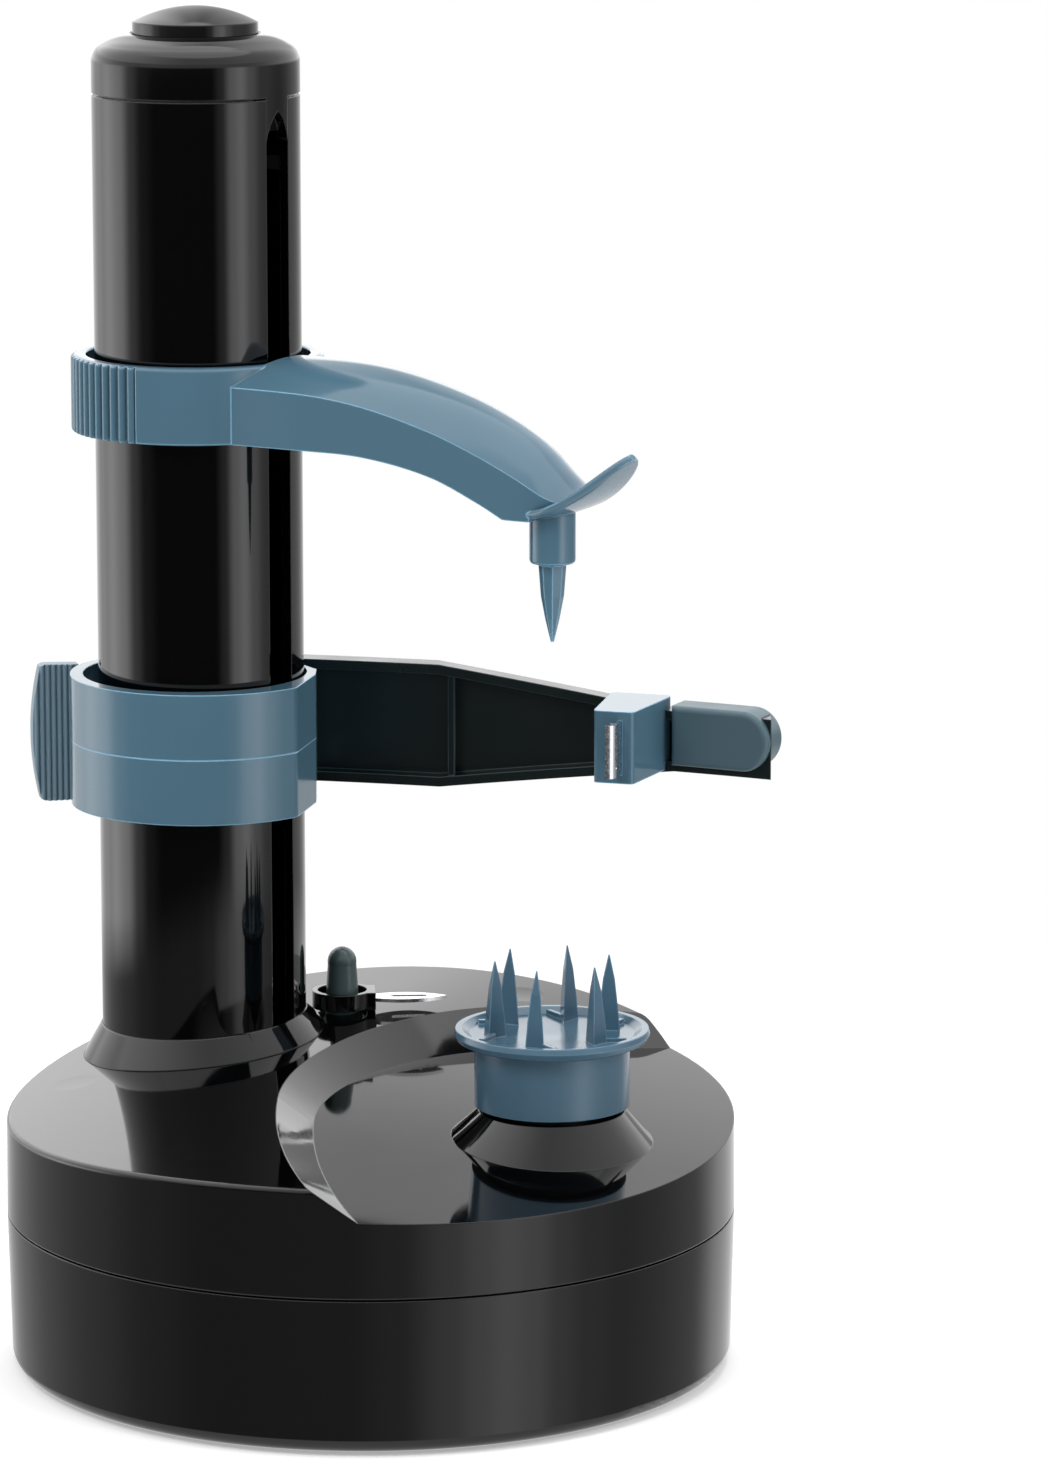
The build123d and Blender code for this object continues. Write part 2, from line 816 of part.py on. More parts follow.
# share of a prong's height and its size there
prong_sections = ((0.0, 1.0), (0.35, 0.8), (0.7, 0.52), (1.0, 0.06))
with BuildPart() as food_holder:
    turn(
        [
            (cup_radius - cup_wall, cup_bottom),
            (cup_radius, cup_bottom),
            (cup_radius, flange_bottom),
            (flange_radius - 2.5, flange_bottom + 0.2),
            (flange_radius - 0.6, flange_bottom + 1.0),
            (flange_radius, flange_bottom + 2.2),
            (flange_radius - 0.3, flange_top),
            (flange_radius - 1.6, flange_top),
            (flange_radius - 3.4, flange_top - 1.2),
            (0, flange_top - 1.6),
            (0, flange_bottom - 0.6),
            (cup_radius - cup_wall, flange_bottom - 0.6),
        ],
        food,
    )
    disc(food, spindle_radius + 2.4, cup_bottom + 4.5, flange_bottom)
    for index in range(prong_count):
        angle = prong_phase + index * 360 / prong_count
        foot = polar(food, prong_circle, angle)
        with BuildPart(mode=Mode.PRIVATE) as prong:
            for share, size in prong_sections:
                height = flange_top - 1.9 + share * prong_height
                with BuildSketch(level(foot, height, angle)):
                    with BuildLine():
                        half = 2.1 * size
                        Polyline((-2.6 * size, 0), (1.9 * size, half), (1.9 * size, -half), close=True)
                    make_face()
            loft(ruled=True)
        add(prong.part)
    # raised ribs that run from the prongs to the rim
    with BuildSketch(level(food, flange_top - 1.8)):
        with PolarLocations(prong_circle + 2.8, prong_count, start_angle=prong_phase + 12):
            Rectangle(5.6, 1.1, rotation=35)
    extrude(amount=1.5)
    with BuildSketch(level(food, cup_bottom + 4 - 0.05)):
        RegularPolygon(spindle_radius + running, 6)
    extrude(amount=socket_depth + 0.1, mode=Mode.SUBTRACT)
finish(food_holder, "food_holder")

# ---------------------------------------------------------------- lead screw

with BuildPart() as lead_screw:
    screw_outline = [(0, shaft_foot), (screw_journal, shaft_foot)]
    screw_outline += [(screw_journal, column_foot), (screw_core, column_foot)]
    turns = int((screw_thread_top - screw_thread_bottom) / screw_lead)
    for index in range(turns):
        height = screw_thread_bottom + index * screw_lead
        screw_outline += [
            (screw_core, height),
            (screw_radius, height + 0.25 * screw_lead),
            (screw_radius, height + 0.50 * screw_lead),
            (screw_core, height + 0.75 * screw_lead),
        ]
    screw_outline += [(screw_core, bearing_plate_bottom - 0.6)]
    screw_outline += [(screw_journal, bearing_plate_bottom - 0.6)]
    screw_end = bearing_plate_bottom + bearing_plate_thickness + 1.5
    screw_outline += [(screw_journal, screw_end), (0, screw_end)]
    turn(screw_outline, column)
finish(lead_screw, "lead_screw")

# ---------------------------------------------------------------- tower

column_inside = column_radius - column_wall
with BuildPart() as tower_tube:
    with BuildSketch(level(column, column_foot)):
        Circle(column_radius)
        Circle(column_inside, mode=Mode.SUBTRACT)
    extrude(amount=column_top - column_foot)
    half_slot = slot_width / 2
    slot_along = (0, column_radius + 2)
    slot_side = (-half_slot, half_slot)
    slab(level(column, 0, slot_angle), slot_along, slot_side, column_top + 1, Mode.SUBTRACT)
finish(tower_tube, "tower_tube")

with BuildPart() as tower_foot:
    tilt_x = math.radians(flare_tilt[0])
    tilt_y = math.radians(flare_tilt[1])
    flare_plane = Plane(
        origin=(column[0], column[1], flare_level),
        x_dir=(math.cos(tilt_y), 0, math.sin(tilt_y)),
        z_dir=(-math.sin(tilt_y), -math.sin(tilt_x), math.cos(tilt_y)),
    )
    with BuildSketch(flare_plane.offset(-flare_sink)):
        Circle(flare_radius + flare_sink * flare_slant)
    with BuildSketch(flare_plane.offset(flare_height)):
        Circle(flare_radius - flare_height * flare_slant)
    loft()
    disc(column, column_radius + 0.05, 0, through, Mode.SUBTRACT)
    add(deck_block(), mode=Mode.SUBTRACT)
finish(tower_foot, "tower_foot")

with BuildPart() as bearing_plate:
    bearing_top = bearing_plate_bottom + bearing_plate_thickness
    disc(column, column_inside - 0.05, bearing_plate_bottom, bearing_top)
    disc(column, screw_journal + running, 0, column_top, Mode.SUBTRACT)
    for side in (-1, 1):
        place = (column[0] + side * 9.5, column[1])
        disc(place, 2.0, bearing_top, bearing_top + 7)
    disc(polar(column, cable_reach, cable_side), cable_radius + 1, 0, column_top, Mode.SUBTRACT)
    # cut back where it would show in the slot
    notch_along = (bearing_plate_notch, column_radius)
    notch_side = (-slot_width * 0.7, slot_width * 0.7)
    slab(level(column, 0, slot_angle), notch_along, notch_side, column_top, Mode.SUBTRACT)
finish(bearing_plate, "bearing_plate")

with BuildPart() as tower_cap:
    cap_bottom = column_top + cap_gap
    cap_inside = column_radius - cap_wall
    spigot_radius = column_inside - 0.05
    with BuildSketch(upright(column)):
        with BuildLine():
            crest = (cap_crest_radius, cap_crest)
            hole_edge = (cap_hole_radius + 0.5, cap_top)
            Line((column_radius, cap_bottom), (column_radius, cap_shoulder))
            ThreePointArc(
                (column_radius, cap_shoulder),
                (column_radius - 0.6, cap_shoulder + 2.2),
                crest,
            )
            crest_middle = ((crest[0] + hole_edge[0]) / 2, (crest[1] + hole_edge[1]) / 2 + 0.4)
            ThreePointArc(crest, crest_middle, hole_edge)
            Polyline(
                hole_edge,
                (cap_hole_radius, cap_top - 0.5),
                (cap_hole_radius, cap_top - 3.4),
                (cap_inside - 0.6, cap_shoulder - 1.6),
                (cap_inside - 0.6, column_top - cap_spigot),
                (spigot_radius, column_top - cap_spigot),
                (spigot_radius, cap_bottom),
                (column_radius, cap_bottom),
            )
        make_face()
    revolve(axis=Axis((column[0], column[1], 0), (0, 0, 1)))
    # the key that closes the slot at its top, with a pointed opening under it
    slot_plane = Plane(
        origin=(column[0], column[1], 0),
        x_dir=(-math.sin(math.radians(slot_angle)), math.cos(math.radians(slot_angle)), 0),
        z_dir=(math.cos(math.radians(slot_angle)), math.sin(math.radians(slot_angle)), 0),
    )
    with BuildPart(mode=Mode.PRIVATE) as slot_key:
        with BuildSketch(slot_plane):
            with BuildLine():
                key_half = half_slot - key_play
                shoulder = slot_top - slot_point
                key_top = cap_bottom + 0.5
                bulge = key_half * 0.72
                bend = shoulder + slot_point / 2
                ThreePointArc((-key_half, shoulder), (-bulge, bend), (0, slot_top))
                ThreePointArc((0, slot_top), (bulge, bend), (key_half, shoulder))
                Polyline(
                    (key_half, shoulder),
                    (key_half, key_top),
                    (-key_half, key_top),
                    (-key_half, shoulder),
                )
            make_face()
        extrude(amount=column_radius + 2)
        disc(column, column_radius, 0, key_top, Mode.INTERSECT)
        disc(column, spigot_radius - 0.6, 0, key_top, Mode.SUBTRACT)
    add(slot_key.part)
finish(tower_cap, "tower_cap")

board_bottom = bearing_top + 7
board_top = board_bottom + 1.6
with BuildPart() as switch_board:
    disc(column, 13.0, board_bottom, board_top)
finish(switch_board, "switch_board")

switch_half = 6.0
switch_height = 8.0
switch_top = board_top + switch_height
plunger_radius = 2.6
plunger_top = button_foot + 2.2
plunger_depth = button_travel + 0.6
with BuildPart() as push_switch:
    side = (-switch_half, switch_half)
    slab(level(column, board_top), side, side, switch_height)
    plunger_bore = switch_top - plunger_depth - button_travel
    disc(column, plunger_radius + running, plunger_bore, switch_top, Mode.SUBTRACT)
finish(push_switch, "push_switch")

with BuildPart() as switch_plunger:
    disc(column, plunger_radius, switch_top - plunger_depth + 0.4, plunger_top)
finish(switch_plunger, "switch_plunger")

with BuildPart() as start_button:
    dome_rise = button_top - button_rim
    dome_radius = (button_radius ** 2 + dome_rise ** 2) / (2 * dome_rise)
    inner_radius = button_radius - button_wall
    with BuildSketch(upright(column)):
        with BuildLine():
            mid = math.asin(button_radius / dome_radius) / 2
            centre_height = button_top - dome_radius
            arc_mid = (dome_radius * math.sin(mid), centre_height + dome_radius * math.cos(mid))
            ThreePointArc((0, button_top), arc_mid, (button_radius, button_rim))
            Polyline(
                (button_radius, button_rim),
                (button_radius, button_foot + button_flange_height),
                (button_radius + button_flange, button_foot + button_flange_height),
                (button_radius + button_flange, button_foot),
                (inner_radius, button_foot),
                (inner_radius, button_rim - button_skin),
                (plunger_radius + 0.8, button_rim - button_skin),
                (plunger_radius + 0.8, plunger_top),
                (0, plunger_top),
                (0, button_top),
            )
        make_face()
    revolve(axis=Axis((column[0], column[1], 0), (0, 0, 1)))
finish(start_button, "start_button")

with BuildPart() as main_board:
    slab(
        level(board_centre, board_stand),
        (-board_width / 2, board_width / 2),
        (-board_length / 2, board_length / 2),
        board_thickness,
    )
    slab(level(board_centre, board_face), (-2.5, 2.5), (-3, 3), 1.4)
finish(main_board, "main_board")

cable_top = polar(column, 11.0, cable_side)
cable_column = polar(column, cable_reach, cable_side)
cable_base = polar(column, cable_base_reach, cable_side)
cable_high = board_bottom - 3.5
cable_bend = 2.0
cable_low = column_foot - socket_ledge - 2.2
cable_run = board_face + 5
cable_end = (board_centre[0], board_centre[1] + 4.5)
with BuildPart() as switch_cable:
    wire(
        [
            (*cable_top, board_bottom),
            (*cable_top, cable_high),
            (*cable_column, cable_high),
            (*cable_column, cable_low),
            (*cable_base, cable_low),
            (*cable_base, cable_run),
            (*cable_end, cable_run),
            (*cable_end, board_face),
        ],
        cable_radius,
        cable_bend,
    )
finish(switch_cable, "switch_cable")

lead_floor = foot_lift + base_wall + 1.2
lead_bend = 0.8
with BuildPart() as motor_leads:
    for side, row in ((-terminal_reach, -2.5), (terminal_reach, 2.5)):
        lead_x = board_centre[0] + row
        lead_y = board_centre[1] - board_length / 2
        lead_end = (motor[0] + side, motor[1])
        wire(
            [
                (lead_x, lead_y + 2, board_face),
                (lead_x, lead_y + 2, board_face + 2),
                (lead_x, lead_y - 2, board_face + 2),
                (lead_x, lead_y - 2, lead_floor),
                (*lead_end, lead_floor),
                (*lead_end, terminal_foot),
            ],
            lead_radius,
            lead_bend,
        )
finish(motor_leads, "motor_leads")

bay_side = bay[0] - bay_length / 2 - bay_wall
with BuildPart() as battery_leads:
    for start_row, end_row in ((8.0, 0.5), (-8.0, -14.5)):
        lead_x = board_centre[0] + board_width / 2 - 2
        wire(
            [
                (lead_x, board_centre[1] + start_row, board_face),
                (lead_x, board_centre[1] + start_row, cable_run),
                (bay_side - 8, board_centre[1] + end_row, cable_run),
                (bay_side, board_centre[1] + end_row, cable_run),
            ],
            lead_radius,
            lead_bend,
        )
finish(battery_leads, "battery_leads")

with BuildPart() as button_spring:
    spring_height = button_rim - button_skin - board_top
    coil_spring(column, board_top, spring_height, 9.6, 0.5, 5)
finish(button_spring, "button_spring")

# ---------------------------------------------------------------- carriage

carriage_middle = carriage_bottom + carriage_height / 2
carriage_top = carriage_bottom + carriage_height
pivot = (column[0], column[1] + pivot_distance)
carriage_screw_places = [
    (column[0] + side, column[1] + carriage_radius) for side in (-1.7, 1.7)
]


def carriage_block(bottom, top):
    """The ring, flattened at its right and behind, where the swinging arm and its tab come near."""
    corner_x, corner_y = carriage_corner
    side_x, side_y = carriage_side
    back_x, back_y = carriage_back
    reach = 2 * carriage_radius
    with BuildPart() as block:
        with BuildSketch(level(column, bottom)):
            Circle(carriage_radius)
            with BuildLine():
                Polyline(
                    (-reach, -reach),
                    (corner_x, -reach),
                    (corner_x, corner_y),
                    (side_x, side_y),
                    (side_x, -side_y),
                    carriage_back,
                    (0, back_y + back_x / 2),
                    *carriage_back_tab,
                    close=True,
                )
            make_face(mode=Mode.INTERSECT)
        extrude(amount=top - bottom)
        corner = block.edges().filter_by(Axis.Z).filter_by(
            lambda edge: edge.center().X > column[0] + corner_x - carriage_corner_round
            and edge.center().Y < column[1] + corner_y + carriage_corner_round
        )
        fillet(corner, carriage_corner_round)
        with BuildSketch(level(column, bottom)):
            with Locations((carriage_bore_shift, 0)):
                Circle(carriage_bore)
        extrude(amount=top - bottom, mode=Mode.SUBTRACT)
    return block.part


def carriage_half(bottom, top, lip_bottom, ear_bottom):
    """One half of the carriage, with its bearing lip, its ear and the pillar behind the ring."""
    add(carriage_block(bottom, top))
    with BuildSketch(level(column, lip_bottom)) as lip:
        with Locations((carriage_bore_shift, 0)):
            Circle(carriage_bore + 0.1)
        Circle(carriage_lip, mode=Mode.SUBTRACT)
    extrude(lip.sketch, amount=lip_height)
    pillar_front = carriage_bore + 1
    pillar_back = pivot_distance - hub_radius - 0.6
    pillar_half = hub_radius - 1.2
    pillar_side = (-pillar_half, pillar_half)
    ear_side = (-hub_radius, hub_radius)
    slab(level(column, bottom), pillar_side, (pillar_front, pillar_back), top - bottom)
    slab(level(column, ear_bottom), ear_side, (pillar_front, pivot_distance), ear_height)
    disc(pivot, hub_radius, ear_bottom, ear_bottom + ear_height)
    disc(pivot, pivot_radius, 0, through, Mode.SUBTRACT)
    nut_floor = level(column, carriage_middle - nut_height / 2 - 0.5, slot_angle)
    nut_side = nut_width / 2 + 0.3
    nut_along = (column_radius - column_wall, nut_back + nut_room)
    slab(nut_floor, nut_along, (-nut_side, nut_side), nut_height + 1, Mode.SUBTRACT)
    for place in carriage_screw_places:
        disc(place, 0.8, bottom, top, Mode.SUBTRACT)
        disc(place, 1.4, carriage_bottom, carriage_bottom + 3, Mode.SUBTRACT)


with BuildPart() as carriage_lower:
    carriage_half(carriage_bottom, carriage_middle, carriage_bottom + lip_inset, carriage_bottom)
finish(carriage_lower, "carriage_lower")

with BuildPart() as carriage_upper:
    carriage_half(
        carriage_middle,
        carriage_top,
        carriage_top - lip_inset - lip_height,
        carriage_top - ear_height,
    )
finish(carriage_upper, "carriage_upper")

with BuildPart() as carriage_screws:
    for place in carriage_screw_places:
        disc(place, 0.75, carriage_bottom + 2, carriage_top - 4)
        disc(place, 1.3, carriage_bottom + 1, carriage_bottom + 3)
finish(carriage_screws, "carriage_screws")

with BuildPart() as half_nut:
    with BuildSketch(level(column, carriage_middle - nut_height / 2, slot_angle)):
        with Locations((nut_back / 2, 0)):
            Rectangle(nut_back, nut_width)
        Circle(screw_radius + 0.4, mode=Mode.SUBTRACT)
    extrude(amount=nut_height)
finish(half_nut, "half_nut")

with BuildPart() as nut_spring:
    spring_plane = level(column, carriage_middle - 3, slot_angle)
    with BuildSketch(spring_plane):
        with BuildLine():
            back_wall = nut_back + nut_room - 0.05
            front = nut_back + 0.2
            ThreePointArc((back_wall, -2.7), (front, 0), (back_wall, 2.7))
            Line((back_wall, 2.7), (back_wall, 2.3))
            ThreePointArc((back_wall, 2.3), (front + 0.25, 0), (back_wall, -2.3))
            Line((back_wall, -2.3), (back_wall, -2.7))
        make_face()
    extrude(amount=6)
finish(nut_spring, "nut_spring")

with BuildPart() as pivot_pin:
    disc(pivot, pivot_radius, carriage_bottom + 0.6, carriage_top)
    disc(pivot, pivot_radius + 1.2, carriage_top, carriage_top + 1)
finish(pivot_pin, "pivot_pin")

# ---------------------------------------------------------------- peeling arm

arm_start = 8.0
arm_start_y = 29.4
arm_middle = (60.0, 17.0)
arm_end = (125.0, -8.6)
taper_from = 52.0
taper_to = 104.0
rib_places = (54.0, 98.0)
arm_arc_points = ((arm_start, arm_start_y), arm_middle, arm_end)


def arm_circle():
    """Centre and radius of the arm's front line in plan, from the column's axis."""
    (x1, y1), (x2, y2), (x3, y3) = arm_arc_points
    d = 2 * (x1 * (y2 - y3) + x2 * (y3 - y1) + x3 * (y1 - y2))
    s1, s2, s3 = x1 ** 2 + y1 ** 2, x2 ** 2 + y2 ** 2, x3 ** 2 + y3 ** 2
    ux = (s1 * (y2 - y3) + s2 * (y3 - y1) + s3 * (y1 - y2)) / d
    uy = (s1 * (x3 - x2) + s2 * (x1 - x3) + s3 * (x2 - x1)) / d
    return (ux, uy), math.hypot(x1 - ux, y1 - uy)


arm_hub, arm_radius = arm_circle()


def arm_y(x, back=0.0):
    """How far back the arm's front line is at x, or a line that lies behind it."""
    return arm_hub[1] + math.sqrt((arm_radius + back) ** 2 - (x - arm_hub[0]) ** 2)


def arm_strip(front, back, start, end, inset):
    """A stretch of the arm between two lines in plan, tapered in side view."""
    middle = (start + end) / 2
    arm_middle_z = arm_bottom + arm_height / 2
    half_root = arm_height / 2 - inset
    half_tip = tip_height / 2 - inset
    with BuildPart() as strip:
        with BuildSketch(level(column, arm_bottom)):
            with BuildLine():
                near = [(x, arm_y(x, front)) for x in (start, middle, end)]
                far = [(x, arm_y(x, back)) for x in (end, middle, start)]
                ThreePointArc(*near)
                Line(near[-1], far[0])
                ThreePointArc(*far)
                Line(far[-1], near[0])
            make_face()
        extrude(amount=arm_height)
        with BuildSketch(upright(column)):
            with BuildLine():
                Polyline(
                    (0, arm_middle_z - half_root),
                    (taper_from, arm_middle_z - half_root),
                    (taper_to, arm_middle_z - half_tip),
                    (arm_reach * 1.5, arm_middle_z - half_tip),
                    (arm_reach * 1.5, arm_middle_z + half_tip),
                    (taper_to, arm_middle_z + half_tip),
                    (taper_from, arm_middle_z + half_root),
                    (0, arm_middle_z + half_root),
                    close=True,
                )
            make_face()
        extrude(amount=base_radius, both=True, mode=Mode.INTERSECT)
    return strip.part


groove_height = 8.0
groove_radius = 3.3
blade_screw_radius = 1.2
blade_screw_length = 10.0
blade_mount = 96.0
blade_back = (blade_mount - arm_hub[0], arm_y(blade_mount) - arm_hub[1])
back_length = math.hypot(*blade_back)
back_x = blade_back[0] / back_length
back_y = blade_back[1] / back_length
screw_plane = Plane(
    origin=(
        column[0] + arm_hub[0] + back_x * (arm_radius + arm_depth),
        column[1] + arm_hub[1] + back_y * (arm_radius + arm_depth),
        carriage_middle,
    ),
    x_dir=(0, 0, 1),
    z_dir=(back_x, back_y, 0),
)
hub_bottom = carriage_bottom + ear_height + 0.3
hub_top = carriage_top - ear_height - 0.3
tab_centre = (-33.9, 21.0)
tab_angle = 14.0

with BuildPart() as peeling_arm:
    add(arm_strip(0, arm_depth, arm_start + 6, arm_end[0], 0))
    add(
        arm_strip(-1, arm_depth - arm_web, arm_start + 4, arm_end[0] - tip_length, arm_flange),
        mode=Mode.SUBTRACT,
    )
    for place in rib_places:
        with BuildPart(mode=Mode.PRIVATE) as rib:
            add(arm_strip(0.4, arm_depth - 0.5, place, place + 1.4, 0.5))
        add(rib.part)
    # the root narrows to the hub between the ears
    with BuildSketch(level(column, hub_bottom)):
        with BuildLine():
            Polyline(
                (0, pivot_distance + 2.4),
                (arm_start + 9, arm_y(arm_start + 9, arm_depth)),
                (arm_start + 9, arm_y(arm_start + 9, arm_depth - 3)),
                (0, pivot_distance - 1.6),
                close=True,
            )
        make_face()
        with BuildLine():
            Polyline(
                (0, pivot_distance + 2.0),
                (tab_centre[0] + 3.2, tab_centre[1] + 5.6),
                (tab_centre[0] + 3.2, tab_centre[1] + 1.8),
                (0, pivot_distance - 2.0),
                close=True,
            )
        make_face()
        with Locations((0, pivot_distance)):
            Circle(hub_radius)
    extrude(amount=hub_top - hub_bottom)
    disc(pivot, pivot_radius + running, 0, through, Mode.SUBTRACT)
    groove_bottom = carriage_middle - groove_height / 2
    groove_top = carriage_middle + groove_height / 2
    ring(pivot, hub_radius + 0.1, groove_radius, groove_bottom, groove_top, Mode.SUBTRACT)
    with BuildSketch(screw_plane):
        Circle(blade_screw_radius)
    extrude(amount=-blade_screw_length, mode=Mode.SUBTRACT)
finish(peeling_arm, "peeling_arm")

with BuildPart() as torsion_spring:
    coil_spring(pivot, groove_bottom + 0.2, groove_height - 0.4, groove_radius + 0.65, 0.45, 6)
finish(torsion_spring, "torsion_spring")

ridge_count = 7
ridge_step = 1.3
tab_bow = 1.9
tab_corner = 2.6
with BuildPart() as release_tab:
    tab_plane = level((column[0] + tab_centre[0], column[1] + tab_centre[1]), tab_bottom, tab_angle)
    with BuildSketch(tab_plane):
        Rectangle(tab_width, tab_thickness)
        with Locations((-0.3, -tab_thickness / 2)):
            with GridLocations(ridge_step, 0, ridge_count, 1):
                Circle(0.5)
    extrude(amount=tab_height)
    # seen from the front, the outer edge bows outwards between rounded corners
    bow_plane = Plane(origin=tab_plane.origin, x_dir=tab_plane.x_dir, z_dir=-tab_plane.y_dir)
    with BuildSketch(bow_plane):
        with BuildLine():
            left_side = -tab_width / 2
            ThreePointArc(
                (left_side + tab_bow, 0),
                (left_side, tab_height * 0.55),
                (left_side + tab_bow, tab_height),
            )
            Polyline(
                (left_side + tab_bow, tab_height),
                (tab_width, tab_height - 0.5),
                (tab_width, 0),
                (left_side + tab_bow, 0),
            )
        make_face()
        with Locations((left_side + tab_width, tab_height / 2)):
            RectangleRounded(2 * tab_width, tab_height, tab_corner + 1, mode=Mode.INTERSECT)
    extrude(amount=tab_width, both=True, mode=Mode.INTERSECT)
    add(peeling_arm.part, mode=Mode.SUBTRACT)
finish(release_tab, "release_tab")

tip_direction = math.degrees(math.atan2(arm_y(arm_end[0]) - arm_y(arm_end[0] - 10), 10))
tip_start = arm_end[0] - tip_length
tip_cos = math.cos(math.radians(tip_direction))
tip_sin = abs(math.sin(math.radians(tip_direction)))
tip_side = tip_depth / 2 - tip_edge
tip_size = (arm_reach - column_offset[0] - tip_start - tip_side * tip_sin) / tip_cos
tip_origin = (column[0] + tip_start, column[1] + arm_y(tip_start, arm_depth / 2))
with BuildPart() as arm_tip:
    tip_floor = carriage_middle - tip_height / 2
    tip_plane = level(tip_origin, tip_floor, tip_direction)
    side_plane = Plane(origin=tip_plane.origin, x_dir=tip_plane.x_dir, z_dir=-tip_plane.y_dir)
    tip_round = tip_height / 2 - 0.4
    with BuildSketch(side_plane):
        with Locations(((tip_size - tip_round) / 2, tip_height / 2)):
            Rectangle(tip_size - tip_round, tip_height)
        with Locations((tip_size - tip_round, tip_height / 2)):
            Ellipse(tip_round, tip_height / 2)
    extrude(amount=tip_depth / 2, both=True)
    fillet(arm_tip.faces().filter_by(side_plane).edges(), tip_edge)
    add(peeling_arm.part, mode=Mode.SUBTRACT)
finish(arm_tip, "arm_tip")

blade_place = (blade_mount, arm_y(blade_mount))
blade_x = column[0] + blade_place[0]
blade_y = column[1] + blade_place[1]
blade_angle = math.degrees(math.atan2(food[1] - blade_y, food[0] - blade_x))
food_radius = 40.0
blade_gap = math.hypot(food[0] - blade_x, food[1] - blade_y) - food_radius
head_length = blade_gap - 4.5
head_root = arm_web - arm_depth + 0.4
blade_plane_bottom = carriage_middle - 8

with BuildPart() as blade_head:
    with BuildSketch(level((blade_x, blade_y), blade_plane_bottom, blade_angle)):
        with BuildLine():
            Polyline(
                (head_root, -7), (head_length, -4.5), (head_length, 4.5), (head_root, 7), close=True
            )
        make_face()
    extrude(amount=16)
    fillet(blade_head.edges().filter_by(Axis.Z), 1.2)
    with BuildSketch(level((blade_x, blade_y), blade_plane_bottom + 2, blade_angle)):
        with Locations((head_length - 3, 1.5)):
            Rectangle(9, 0.9)
    extrude(amount=12, mode=Mode.SUBTRACT)
    add(peeling_arm.part, mode=Mode.SUBTRACT)
    with BuildSketch(screw_plane):
        Circle(blade_screw_radius)
    extrude(amount=-blade_screw_length, mode=Mode.SUBTRACT)
finish(blade_head, "blade_head")

with BuildPart() as blade_screw:
    with BuildSketch(screw_plane):
        Circle(blade_screw_radius)
    extrude(amount=-blade_screw_length)
    with BuildSketch(screw_plane):
        Circle(2 * blade_screw_radius)
    extrude(amount=1.3)
finish(blade_screw, "blade_screw")

with BuildPart() as peeling_blade:
    blade_plane = level((blade_x, blade_y), blade_plane_bottom + 2.1, blade_angle)
    with BuildSketch(blade_plane):
        with Locations((head_length + 0.2, 1.5)):
            Rectangle(7.6, 0.7)
        with Locations((blade_gap - 0.5, 0)):
            Circle(2.0)
            Circle(1.5, mode=Mode.SUBTRACT)
            with Locations((0, -3)):
                Rectangle(6, 6, mode=Mode.SUBTRACT)
    extrude(amount=11.8)
    blade_side = Plane(origin=blade_plane.origin, x_dir=blade_plane.x_dir, z_dir=-blade_plane.y_dir)
    with BuildSketch(blade_side):
        with Locations((blade_gap - 0.6, 5.9)):
            SlotOverall(8, 1.0, rotation=90)
    extrude(amount=10, both=True, mode=Mode.SUBTRACT)
finish(peeling_blade, "peeling_blade")

# ---------------------------------------------------------------- top holder

collar_top = collar_bottom + collar_height
# stations along the arm: distance, half width, bottom, edge height, crown
arm_sections = (
    (18.0, 17.4, 198.8, 211.3, 5.2),
    (40.0, 14.8, 198.8, 211.1, 5.8),
    (55.0, 13.0, 198.8, 209.3, 6.3),
    (71.0, 11.2, 195.8, 205.3, 6.9),
    (83.0, 9.9, 191.0, 200.9, 7.3),
    (92.0, 9.0, 188.0, 196.9, 7.0),
    (99.0, 8.3, 187.8, 192.9, 5.2),
)
# the finger lip in side view: distance and height of its under and upper side
lip_root = (94.0, 186.6)
lip_under_middle = (106.8, 193.6)
lip_under_end = (118.3, 201.2)
lip_upper_end = (117.5, 202.7)
lip_upper_middle = (105.9, 195.2)
lip_upper_root = (94.0, 189.6)
lip_width = 16.4
lip_length = 30.0
lip_corner = 7.6
holder_axis = math.radians(slot_angle)
along_arm = (math.cos(holder_axis), math.sin(holder_axis), 0)
across_arm = (-math.sin(holder_axis), math.cos(holder_axis), 0)
boss_top = collar_bottom - 7.0
boss_bevel = 1.2
spike_top = boss_top - 1.5
spike_bore = spike_radius + running + 0.05

